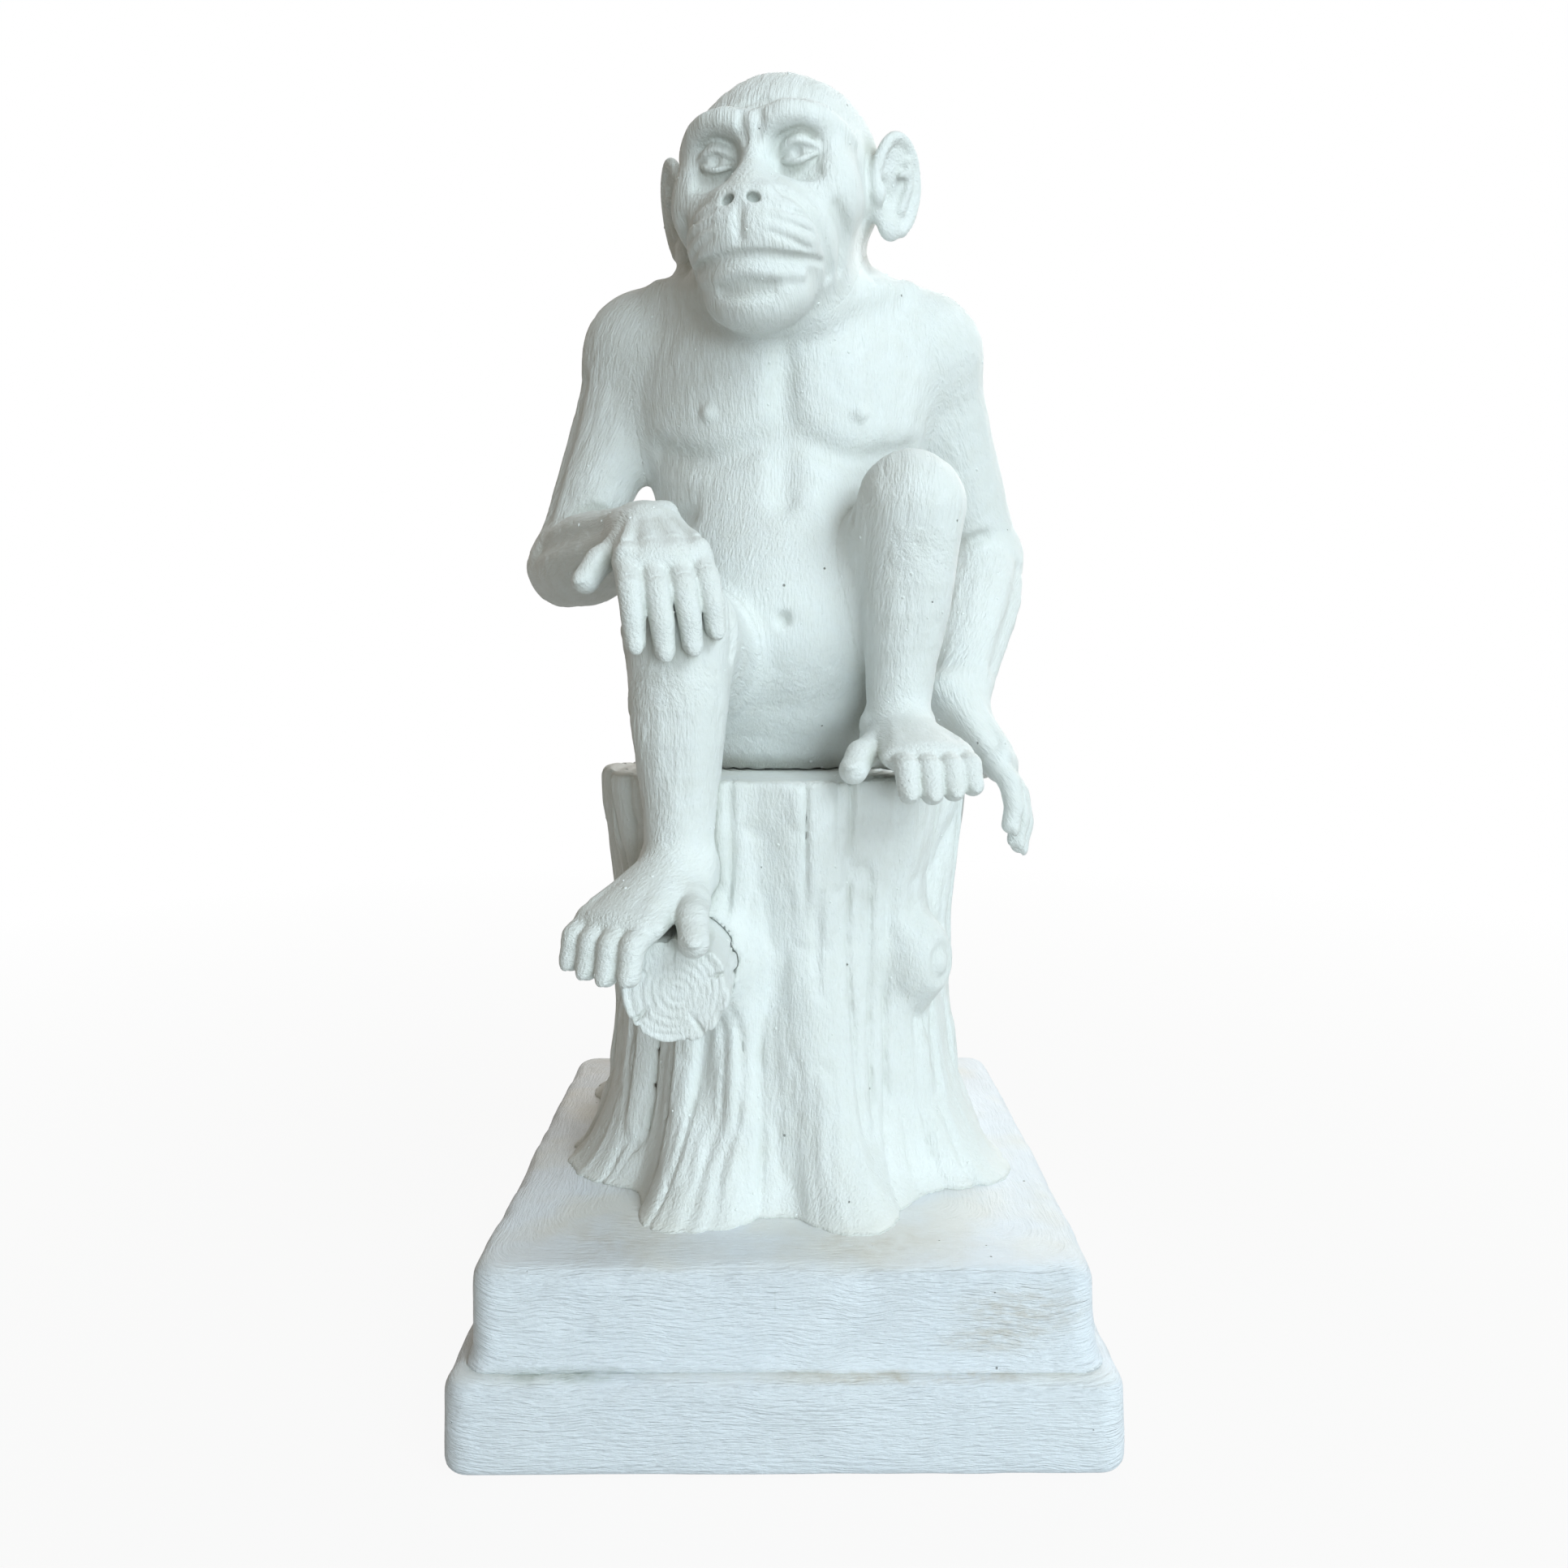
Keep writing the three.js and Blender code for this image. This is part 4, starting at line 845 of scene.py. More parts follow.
def stump_clay():
    """The stump with the collar that its branch grew from, and a knot scar."""
    clay = Clay().add(Stump(), 0)
    clay.add(Drum(0, STUMP_BACK, STUMP_REGISTER_RADIUS, CAP_TOP - REGISTER_HEIGHT, CAP_TOP + 3), 0)
    middle = at(STUB_SIDE, STUB_ROOT, STUB_RISE)
    clay.limb([(middle + at(0, 14, 0), STUB_RADIUS + 5), (middle + at(0, 6.5, 0), STUB_RADIUS + 2.4)], 5)
    out = at(math.cos(math.radians(KNOT_ANGLE)), math.sin(math.radians(KNOT_ANGLE)), 0)
    knot = at(0, STUMP_BACK, SEAT - KNOT_DROP) + out * STUMP_WAIST
    clay.egg(knot, (8, 8, 9.5), 6)
    clay.carve(Egg(knot + out * 8.6, (4.6, 4.6, 5.4)), 2)
    clay.egg(knot + out * 4.2, (3.2, 3.2, 3.8), 1.5)
    return clay


class Stub:
    """The sawn stub of a branch, with bark round it, and rings and checks on its end."""

    def __init__(self):
        self.low = at(STUB_SIDE - STUB_RADIUS - 1, STUB_FRONT, STUB_RISE - STUB_RADIUS - 1)
        self.high = at(STUB_SIDE + STUB_RADIUS + 1, STUB_ROOT, STUB_RISE + STUB_RADIUS + 1)

    def distance(self, points):
        x, y, z = points[:, 0] - STUB_SIDE, points[:, 1], points[:, 2] - STUB_RISE
        out = np.hypot(x, z)
        furrow = furrows(np.arctan2(z, x), 11.5, 3.6, y / 20, 31) ** 2
        forth = STUB_ROOT - y
        radius = STUB_RADIUS * (1 - 0.06 * forth / (STUB_ROOT - STUB_FRONT)) - 0.3 - 0.9 * furrow
        side = (out - radius) * 0.85
        grain = out + 1.1 * noise(np.column_stack([x / 5, z / 5, y * 0]), 33)
        rings = 0.11 * np.cos(grain * 2 * np.pi / STUB_RING) * step(out, 10.4, 9.4)
        for off, forth, length in checks(x, z, 0.5 * noise(points / 3, 34), STUB_CHECKS):
            rings = rings - 0.9 * step(off, 0.55, 0.05) * step(forth, 10.5 - length, 10)
        sunk = 0.7 * step(out, 10.8, 9.6)
        end = STUB_FRONT + 0.25 + sunk - rings - y
        d = -blended(-side, -end, 1.2)
        return np.maximum(d, y - STUB_ROOT)


def stub_clay():
    return Clay().add(Stub(), 0)


# Skins

EDGES = [(a, b) for a in range(8) for b in range(a + 1, 8) if np.abs(CORNERS[a] - CORNERS[b]).sum() == 1]
BLOCK = 5


def sample(field, low, high, cell):
    """The field on a grid of points, worked out only in the blocks of cells that its surface may cross."""
    low = low - 2 * cell
    blocks = np.ceil((high - low + 3 * cell) / (cell * BLOCK)).astype(int)
    where = np.stack(np.meshgrid(*[np.arange(n) for n in blocks], indexing="ij"), -1).reshape(-1, 3)
    coarse = field(low + (where + 0.5) * BLOCK * cell)
    live = where[np.abs(coarse) < BLOCK * cell * 1.25]
    values = coarse.reshape(blocks)
    for axis in range(3):
        values = np.repeat(values, BLOCK, axis)
    values = np.pad(values, ((0, 1), (0, 1), (0, 1)), mode="edge").astype(np.float32)
    inner = np.stack(np.meshgrid(*[np.arange(BLOCK + 1)] * 3, indexing="ij"), -1).reshape(-1, 3)
    places = (live[:, None] * BLOCK + inner[None]).reshape(-1, 3)
    chosen = np.unique(np.ravel_multi_index(places.T, values.shape))
    spots = np.column_stack(np.unravel_index(chosen, values.shape))
    values.flat[chosen] = field(low + spots * cell)
    return low, values


def surface(field, low, high, cell):
    """Vertices and quads of the field's surface, one vertex to each cell that it crosses."""
    low, values = sample(field, low, high, cell)
    inside = values < 0
    size = np.array(inside.shape) - 1
    count = np.zeros(size, np.int8)
    for corner in CORNERS:
        count += inside[tuple(slice(c, n + c) for c, n in zip(corner, size))]
    cells = np.argwhere((count > 0) & (count < 8))
    corner_values = [values[tuple((cells + c).T)] for c in CORNERS]
    total = np.zeros((len(cells), 3))
    crossings = np.zeros(len(cells))
    for a, b in EDGES:
        va, vb = corner_values[a], corner_values[b]
        cross = (va < 0) != (vb < 0)
        share = np.where(cross, va / np.where(cross, va - vb, 1), 0)
        total += np.where(cross[:, None], CORNERS[a] + (CORNERS[b] - CORNERS[a]) * share[:, None], 0)
        crossings += cross
    vertices = low + (cells + total / crossings[:, None]) * cell
    number = np.full(count.shape, -1, np.int64)
    number[tuple(cells.T)] = np.arange(len(cells))
    quads = []
    for a, b, c in ((0, 1, 2), (1, 2, 0), (2, 0, 1)):
        edges = np.argwhere(np.diff(inside, axis=a))
        edges = edges[(edges[:, b] > 0) & (edges[:, c] > 0)]
        edges = edges[(edges < count.shape).all(1)]
        back_b, back_c = np.eye(3, dtype=int)[b], np.eye(3, dtype=int)[c]
        ring = [edges - back_b - back_c, edges - back_c, edges, edges - back_b]
        quad = np.column_stack([number[tuple(places.T)] for places in ring])
        flip = ~inside[tuple(edges.T)]
        quad[flip] = quad[flip][:, ::-1]
        quads.append(quad)
    return vertices, np.vstack(quads)


def settle(field, vertices, cell):
    """Moves the vertices onto the surface, and gives the way out from it at each."""
    small = cell * 0.3
    values = [field(vertices + corner * small) for corner in TETRA]
    slope = sum(v[:, None] * corner for v, corner in zip(values, TETRA)) / (4 * small)
    steep = np.linalg.norm(slope, axis=1)
    value = sum(values) / 4
    outward = slope / np.maximum(steep, 1e-6)[:, None]
    move = np.clip(value / np.maximum(steep, 0.5), -cell * 0.6, cell * 0.6)
    return vertices - outward * move[:, None], outward


def mesh_piece(name, vertices, quads, facts):
    """A smooth-shaded mesh object in metres, with the facts as attributes of its vertices."""
    mesh = bpy.data.meshes.new(name)
    mesh.vertices.add(len(vertices))
    mesh.vertices.foreach_set("co", (vertices * MM).astype(np.float32).ravel())
    mesh.loops.add(quads.size)
    mesh.loops.foreach_set("vertex_index", quads.astype(np.int32).ravel())
    mesh.polygons.add(len(quads))
    mesh.polygons.foreach_set("loop_start", np.arange(0, quads.size, quads.shape[1], dtype=np.int32))
    mesh.polygons.foreach_set("use_smooth", np.ones(len(quads), bool))
    mesh.update(calc_edges=True)
    mesh.validate()
    for fact, values in facts.items():
        kind = "FLOAT_VECTOR" if values.ndim == 2 else "FLOAT"
        layer = mesh.attributes.new(fact, kind, "POINT")
        layer.data.foreach_set("vector" if values.ndim == 2 else "value", values.astype(np.float32).ravel())
    piece = bpy.data.objects.new(name, mesh)
    bpy.context.scene.collection.objects.link(piece)
    return piece


# Plain forms of the plinth and of the registers between castings


def both(a, b):
    """The distance from what lies inside both, which are square to each other."""
    return np.hypot(np.maximum(a, 0), np.maximum(b, 0)) + np.minimum(np.maximum(a, b), 0)


class Slab:
    """A step of the plinth: drafted sides, rounded corners and a worn, slightly wavy upper edge."""

    def __init__(self, low, high, cove=0.0):
        self.low, self.high, self.cove = np.asarray(low, float), np.asarray(high, float), cove
        self.middle = (self.low + self.high) / 2
        self.half = (self.high - self.low) / 2

    def distance(self, points):
        rise = np.clip((points[:, 2] - self.low[2]) / (2 * self.half[2]), 0, 1)
        wave = 0.3 * noise(points / 23, 50) + 0.17 * noise(points / (9, 9, 5), 51)
        foot_cove = self.cove * np.exp(-np.clip(points[:, 2] - self.low[2], 0, None) / 1.3)
        inset = WAVE_ROOM + SIDE_DRAFT * rise + wave - foot_cove
        across = np.abs(points[:, 0] - self.middle[0]) - self.half[0] + inset + UPRIGHT_CORNER
        along = np.abs(points[:, 1] - self.middle[1]) - self.half[1] + inset + UPRIGHT_CORNER
        plan = both(across, along) - UPRIGHT_CORNER
        top = points[:, 2] - self.high[2] + 0.2 + 0.17 * noise(points / 14, 52)
        edge = TOP_EDGE + 1.1 * noise(points / 16, 53) + 0.7 * noise(points / 5, 54)
        d = self.rounded(plan, top, edge)
        return self.rounded(d, self.low[2] - points[:, 2], 0.3 if self.cove else 2.2)

    @staticmethod
    def rounded(a, b, radius):
        """What lies inside both, with an edge of that radius."""
        return both(a + radius, b + radius) - radius


class Block:
    """A square boss or socket."""

    def __init__(self, low, high):
        self.low, self.high = np.asarray(low, float), np.asarray(high, float)

    def distance(self, points):
        q = np.abs(points - (self.low + self.high) / 2) - (self.high - self.low) / 2
        return np.linalg.norm(np.maximum(q, 0), axis=1) + np.minimum(q.max(1), 0)


class Drum:
    """A round boss or socket with its axis upright."""

    def __init__(self, x, y, radius, bottom, top):
        self.low, self.high = at(x - radius, y - radius, bottom), at(x + radius, y + radius, top)
        self.radius = radius

    def distance(self, points):
        middle = (self.low + self.high) / 2
        out = np.hypot(points[:, 0] - middle[0], points[:, 1] - middle[1]) - self.radius
        up = np.abs(points[:, 2] - middle[2]) - (self.high[2] - self.low[2]) / 2
        return both(out, up)


def register_block(grow):
    half = REGISTER_HALF + grow
    return Block((-half, -half, FOOT_TOP - REGISTER_HEIGHT - grow), (half, half, FOOT_TOP + 1))


def foot_clay():
    clay = Clay().add(Slab(FOOT_LOW, FOOT_HIGH), 0)
    clay.carve(register_block(SEAM), 0)
    for x in (-1, 1):
        for y in (-1, 1):
            place = FOOT_HIGH[0] - FELT_INSET
            clay.carve(Drum(x * place, y * place, FELT_RADIUS + SEAM, -1, FELT_THICKNESS), 0)
    return clay


def cap_clay():
    clay = Clay().add(Slab(at(CAP_LOW[0], CAP_LOW[1], FOOT_TOP - 0.4), CAP_HIGH, 1.6), 0)
    clay.add(register_block(0), 0)
    depth = CAP_TOP - REGISTER_HEIGHT - SEAM
    return clay.carve(Drum(0, STUMP_BACK, STUMP_REGISTER_RADIUS + SEAM, depth, CAP_TOP + 1), 0)


# Hair, which runs along the bones


class Coat:
    """Carved hair along a chain of joints, and bare skin round the middles given with their radii."""

    carved = True

    def __init__(self, joints, hinge=(1, 0, 0), bare=()):
        self.joints = joints
        self.hinge = np.asarray(hinge, float)
        self.bare = bare

    def flow(self, points):
        """Coordinates across, through and along the limb, in which hair runs along the third."""
        total = np.zeros((len(points), 3))
        weights = np.zeros(len(points))
        run = 0.0
        for start, end in zip(self.joints[:-1], self.joints[1:]):
            length = np.linalg.norm(end - start)
            line = (end - start) / length
            across = square(self.hinge, line)
            offset = points - start
            share = np.clip(offset @ line, 0, length)
            away = np.linalg.norm(offset - share[:, None] * line, axis=1)
            weight = np.exp(-away / 3)
            own = np.column_stack([offset @ across, offset @ np.cross(line, across), offset @ line + run])
            total += own * weight[:, None]
            weights += weight
            run += length
        return total / weights[:, None]

    def cover(self, points):
        """1 where hair is carved, 0 on bare skin."""
        cover = np.ones(len(points))
        for middle, radius in self.bare:
            away = np.linalg.norm(points - middle, axis=1) + 2 * noise(points / 6, 60)
            cover *= step(away, radius - 3, radius + 4)
        return cover


class HeadCoat(Coat):
    """Hair that runs from the brow over the crown, and back from the cheeks, with a bare face and ears."""

    def __init__(self):
        super().__init__([HEAD_MIDDLE])

    def flow(self, points):
        local = (points - HEAD_MIDDLE) @ HEAD_AXES / HEAD_SCALE
        y, z = local[:, 1] - 4, local[:, 2] - 1
        out = np.hypot(y, z)
        return np.column_stack([local[:, 0], out, 22 * y / np.maximum(out, 1)])

    def cover(self, points):
        local = (points - HEAD_MIDDLE) @ HEAD_AXES / HEAD_SCALE
        x, y, z = local.T
        ragged = 1.5 * noise(local / 5, 61)
        above = z - 12.5 + 0.012 * x * x + ragged
        behind = y + 5.5 - 0.1 * np.abs(x) + ragged
        cover = step(np.maximum(above, behind), -1.2, 2.2)
        for side in (-1, 1):
            ear = np.linalg.norm((local - at(side * 26, 3.5, 0.5)) / (6.5, 8.5, 11.5), axis=1)
            cover *= step(ear, 0.95, 1.25)
        return cover


class Brushwork:
    """Paint brushed up and down, as on the bark, over a surface without hair."""

    carved = False

    def flow(self, points):
        return points


class StepBrushwork(Brushwork):
    """Paint brushed along the sides of a step of the plinth, level with its edges."""

    def __init__(self, along):
        self.along = along

    def flow(self, points):
        x, y, z = points.T
        edge = -blended(-np.abs(x), -np.abs(y), 9.0)
        waver = 0.9 * noise(points / 9, 46)
        return np.column_stack([z - edge + waver, y * self.along, x])


def hair_relief(flow, points):
    """Depth of the carved hair: long locks that part and meet, with finer strokes between."""
    sway = np.column_stack([noise(points / 13, 40), noise(points / 13, 41), np.zeros(len(points))])
    strands = flow + 2.2 * sway
    locks = noise(strands / (3.2, 3.2, 15), 42)
    strokes = np.clip(1 - np.abs(noise(strands / (1.7, 1.7, 8), 43)) * 2.7, 0, 1)
    swell = noise(points / 8, 44)
    return 0.13 * locks - 0.16 * strokes + 0.16 * swell - 0.1


# Castings


def casting(own, welds, cuts):
    """One casting's field: joined softly to its neighbours, parted from them, and cut where it sits."""

    def field(points):
        d = own.distance(points)
        joined, others = d, None
        for neighbour, blend in welds:
            other = neighbour.distance(points)
            joined = blended(joined, other, blend)
            others = other if others is None else np.minimum(others, other)
        if others is not None:
            joined = np.maximum(joined, (d - others) / 2 - LAP)
        for neighbour in cuts:
            joined = np.maximum(joined, SEAM / 2 - neighbour.distance(points))
        return joined

    return field


CREASES = [(1.6, 0.45), (4.5, 0.55)]  # how far out a crease is felt for, and what it counts


def crevices(clays, vertices, outward):
    """From 0 in the open to 1 deep in a crease, where the paint is darkened with dirt and painted shade."""
    shut = np.zeros(len(vertices))
    for reach, weight in CREASES:
        probe = vertices + outward * reach
        nearest = np.full(len(vertices), reach)
        for clay in clays:
            nearest = np.minimum(nearest, clay.distance(probe))
        shut += weight * np.clip(1 - nearest / reach, 0, 1.4)
    return np.clip(shut, 0, 1)


def evened(values, quads, rounds):
    """The values averaged with those beside them on the mesh."""
    count = np.bincount(quads.ravel(), minlength=len(values))
    for _ in range(rounds):
        means = np.repeat(values[quads].mean(1), 4)
        values = np.bincount(quads.ravel(), means, len(values)) / np.maximum(count, 1)
    return values


def model(name, own, cell, welds, cuts, coat, around=()):
    """Skins one casting and carves its surface. Gives the vertices, the quads and facts about them."""
    field = casting(own, welds, cuts)
    low, high = own.bounds()
    widest = max([blend for _, blend in welds], default=0) * 0.3
    vertices, quads = surface(field, low - widest, high + widest, cell)
    vertices, outward = settle(field, vertices, cell)
    vertices, outward = settle(field, vertices, cell)
    hollow = crevices([own, *[w for w, _ in welds], *cuts, *around], vertices, outward)
    hollow = evened(hollow, quads, 3)
    grain = coat.flow(vertices)
    if coat.carved:
        cover = coat.cover(vertices)
        other = np.full(len(vertices), 9.0)
        for neighbour, _ in welds:
            other = np.minimum(other, neighbour.distance(vertices))
        fade = step(other - own.distance(vertices), 0.8, 4.5)
        relief = hair_relief(grain, vertices) * cover * fade
        relief += (0.07 * noise(vertices / 4.5, 45) - 0.04) * (1 - cover) * fade
        vertices = vertices + outward * relief[:, None]
    rise = np.clip(outward[:, 2], 0, 1)
    return name, vertices, quads, {"grain": grain, "hollow": hollow, "rise": rise}


figure = figure_clays()
torso, head = figure["torso"], figure["head"]
left_arm, right_arm = figure["left_arm"], figure["right_arm"]
left_leg, right_leg = figure["left_leg"], figure["right_leg"]
stump, stub = stump_clay(), stub_clay()
foot_step, cap_step = foot_clay(), cap_clay()


def arm_coat(side, elbow, wrist):
    """Hair down to the wrist, with a bare palm and bare fingers."""
    shoulder, forward = shoulder_of(side), REACHES["left_arm" if side > 0 else "right_arm"]
    knuckles = wrist + forward * PALM_LENGTH
    bare = [(knuckles, PALM_LENGTH - 1), (knuckles + forward * 12 - at(0, 0, 8), 20)]
    hinge = np.cross(elbow - shoulder, wrist - elbow)
    return Coat([shoulder + at(-side * 8, 0, 10), elbow, wrist, knuckles], hinge, bare)


def leg_coat(side, knee, ankle):
    """Hair down to the ankle, with a bare foot."""
    forward = REACHES["left_leg" if side > 0 else "right_leg"]
    toes = ankle + forward * SOLE_LENGTH
    bare = [(toes, SOLE_LENGTH - 3), (ankle + forward * 8 - at(0, 0, 6), 11), (ankle - at(0, 0, 9), 8)]
    return Coat([hip_of(side), knee, ankle, toes], (1, 0, 0), bare)


STEP_STROKES = 0.12  # width of a brush stroke as a share of its length
trunk_joints = [
    at(0, STUMP_BACK + HIP_BACK, SEAT - 10),
    at(0, STUMP_BACK + 3, SEAT + 60),
    at(0, STUMP_BACK + HIP_BACK, SEAT + TRUNK_HEIGHT + 20),
]
breast_skin = [(at(0, STUMP_BACK - 22, SEAT + 72), 21), (at(0, STUMP_BACK - 26, SEAT + 44), 18)]
coats = {
    "torso": Coat(trunk_joints, (1, 0, 0), breast_skin),
    "head": HeadCoat(),
    "left_arm": arm_coat(1, LEFT_ELBOW, LEFT_WRIST),
    "right_arm": arm_coat(-1, RIGHT_ELBOW, RIGHT_WRIST),
    "left_leg": leg_coat(1, LEFT_KNEE, LEFT_ANKLE),
    "right_leg": leg_coat(-1, RIGHT_KNEE, RIGHT_ANKLE),
}
trunk_welds = [(head, 6), (left_arm, 6), (right_arm, 6), (left_leg, 4), (right_leg, 4)]
on_stump = [torso, left_leg, right_leg, left_arm, cap_step]
under_right_leg = [stub, stump, left_leg]
castings = [
    model("torso", torso, 0.68, trunk_welds, [stump], coats["torso"]),
    model("head", head, 0.44, [(torso, 6)], [], coats["head"]),
    model("left_arm", left_arm, 0.5, [(torso, 6)], [stump, left_leg], coats["left_arm"]),
    model("right_arm", right_arm, 0.5, [(torso, 6)], [right_leg], coats["right_arm"]),
    model("left_leg", left_leg, 0.5, [(torso, 4)], [stump], coats["left_leg"], [right_leg, left_arm]),
    model("right_leg", right_leg, 0.5, [(torso, 4)], under_right_leg, coats["right_leg"], [right_arm]),
    model("tree_stump", stump, 0.83, [], [stub], Brushwork(), on_stump),
    model("branch_stub", stub, 0.5, [], [], Brushwork(), [stump, right_leg]),
    model("plinth_cap", cap_step, 0.85, [], [], StepBrushwork(STEP_STROKES), [foot_step, stump]),
    model("plinth_foot", foot_step, 0.95, [], [], StepBrushwork(STEP_STROKES), [cap_step]),
]


# Finishes

# Cream tint of upward faces: dust and painted shade on the tops.
TOP_DUST_AND_SHADE = (0.80, 0.75, 0.62, 1)
# Colour of the creases: dirt and painted shade.
CREASE_DIRT_AND_SHADE = (0.40, 0.41, 0.34, 1)
# Dark of the pinholes: painted shade inside them.
PIT_SHADE = (0.17, 0.17, 0.14, 1)
BROWN = (0.46, 0.38, 0.26, 1)
GRIME = (0.33, 0.38, 0.33, 1)


class Nodes:
    """Adds nodes to a tree. Their inputs are given as values or as other nodes' outputs."""

    def __init__(self, tree):
        self.tree = tree

    def put(self, kind, inputs=None, **settings):
        node = self.tree.nodes.new(kind)
        for key, value in settings.items():
            setattr(node, key, value)
        for key, value in (inputs or {}).items():
            if isinstance(value, bpy.types.NodeSocket):
                self.tree.links.new(value, node.inputs[key])
            else:
                node.inputs[key].default_value = value
        return node

    def shift(self, value, low, high, new_low=0.0, new_high=1.0):
        """The value with the range from low to high stretched to a new one, and held at its ends."""
        ends = {"From Min": low, "From Max": high, "To Min": new_low, "To Max": new_high}
        return self.put("ShaderNodeMapRange", {"Value": value, **ends}).outputs["Result"]

    def sums(self, operation, a, b):
        return self.put("ShaderNodeMath", {0: a, 1: b}, operation=operation).outputs[0]

    def times(self, a, b):
        return self.sums("MULTIPLY", a, b)

    def plus(self, a, b):
        return self.sums("ADD", a, b)

    def vector(self, operation, a, b):
        return self.put("ShaderNodeVectorMath", {0: a, 1: b}, operation=operation).outputs[0]

    def length(self, a):
        return self.put("ShaderNodeVectorMath", {0: a}, operation="LENGTH").outputs["Value"]

    def tint(self, factor, a, b):
        return self.put("ShaderNodeMix", {0: factor, 6: a, 7: b}, data_type="RGBA").outputs[2]

    def cloud(self, where, scale, detail=2.0, roughness=0.5):
        inputs = {"Vector": where, "Scale": scale, "Detail": detail, "Roughness": roughness}
        return self.put("ShaderNodeTexNoise", inputs).outputs["Fac"]

    def fact(self, name, output="Fac"):
        """One of the facts that model() gives about the vertices."""
        return self.put("ShaderNodeAttribute", attribute_name=name).outputs[output]

    def place(self):
        return self.put("ShaderNodeTexCoord").outputs["Object"]


class Finish(Nodes):
    """A new material with its shader."""

    def __init__(self, name):
        self.material = bpy.data.materials.new(name)
        self.material.use_nodes = True
        super().__init__(self.material.node_tree)
        self.shader = self.tree.nodes["Principled BSDF"]

    def set(self, key, value):
        if isinstance(value, bpy.types.NodeSocket):
            self.tree.links.new(value, self.shader.inputs[key])
        else:
            self.shader.inputs[key].default_value = value

    def bump(self, strength, distance, height):
        inputs = {"Strength": strength, "Distance": distance, "Height": height}
        self.set("Normal", self.put("ShaderNodeBump", inputs).outputs["Normal"])


def plaster_paint(name, whites, stroke_depth, along, dust_and_shade=0.0, stains=()):
    """White paint brushed over plaster: strokes, pits darkened as painted shade, warm and cool patches,
    dust with painted shade on the tops, and dirt with painted shade in the creases.
    """
    f = Finish(name)
    place = f.place()
    thin, thick, warm, worn = whites
    rise = f.fact("rise")
    stretched = f.vector("MULTIPLY", f.fact("grain", "Vector"), (1, 1, along))
    strokes = f.cloud(stretched, 1.8, 3, 0.6)
    broad_strokes = f.cloud(stretched, 0.33, 2)
    patches = f.cloud(place, 45, 3)
    mottling = f.cloud(place, 230, 4, 0.6)
    crumbs = f.cloud(place, 1500, 3, 0.6)
    paint = f.tint(f.shift(patches, 0.35, 0.65), thin, thick)
    paint = f.tint(f.shift(mottling, 0.3, 0.75), paint, warm)
    paint = f.tint(f.shift(strokes, 0.55, 0.8, 0, 0.35), paint, worn)
    # Upward faces tinted cream in patches: partly dust, partly painted shade on the tops.
    dust_and_shade_mask = f.times(f.shift(rise, 0.6, 1.0), f.shift(patches, 0.4, 0.62))
    paint = f.tint(f.times(dust_and_shade_mask, dust_and_shade), paint, TOP_DUST_AND_SHADE)
    # Creases darkened by how shut in they are: partly dirt, partly painted shade.
    dirt_and_shade = f.times(f.shift(f.fact("hollow"), 0.22, 0.85), f.shift(patches, 0.3, 0.7, 0.55, 1.0))
    paint = f.tint(f.times(dirt_and_shade, 0.5), paint, CREASE_DIRT_AND_SHADE)
    if stains:
        smears = f.cloud(f.vector("MULTIPLY", place, (0.4, 0.4, 1)), 620, 3, 0.6)
        streaks = f.shift(smears, 0.4, 0.66, 0.2, 1.0)
    for middle, radii, strength, colour in stains:
        offset = f.vector("SUBTRACT", place, tuple(np.array(middle) * MM))
        away = f.length(f.vector("DIVIDE", offset, tuple(np.array(radii) * MM)))
        ragged = f.times(f.shift(away, 1.0, 0.1), streaks)
        paint = f.tint(f.times(ragged, strength), paint, colour)
    cells = f.put("ShaderNodeTexVoronoi", {"Vector": place, "Scale": 210.0, "Randomness": 1.0}).outputs
    chosen = f.put("ShaderNodeSeparateColor", {0: cells["Color"]}).outputs[0]
    size = f.shift(chosen, 0.78, 1.0, 0.0, 0.075)
    pit = f.shift(f.sums("SUBTRACT", size, cells["Distance"]), 0.0, 0.03)
    # The pits are painted dark as their shade, besides being sunk by the bump.
    f.set("Base Color", f.tint(f.times(pit, 0.7), paint, PIT_SHADE))
    f.set("Roughness", f.plus(f.shift(mottling, 0.25, 0.75, 0.5, 0.68), f.times(dirt_and_shade, 0.2)))
    f.set("IOR", 1.45)
    height = f.plus(f.times(strokes, stroke_depth * 1.7), f.times(broad_strokes, stroke_depth))
    height = f.times(height, f.shift(rise, 0.6, 1.0, 1.0, 0.4))
    height = f.plus(height, f.times(crumbs, 0.1))
    height = f.plus(height, f.times(mottling, 0.12))
    f.bump(1.0, MM, f.sums("SUBTRACT", height, f.times(pit, 0.5)))
    return f.material


def drawn_steel(name):
    """Drawn steel rod: fine lines along it and a few dull spots where the plaster has wetted it."""
    f = Finish(name)
    place = f.place()
    lines = f.cloud(place, 1800, 2)
    spots = f.shift(f.cloud(place, 160, 4, 0.6), 0.52, 0.66)
    f.set("Base Color", f.tint(spots, (0.44, 0.44, 0.43, 1), (0.23, 0.14, 0.08, 1)))
    f.set("Metallic", f.shift(spots, 0, 1, 1.0, 0.35))
    f.set("Roughness", f.plus(f.shift(lines, 0.3, 0.7, 0.28, 0.4), f.times(spots, 0.35)))
    f.bump(0.3, 0.1 * MM, lines)
    return f.material


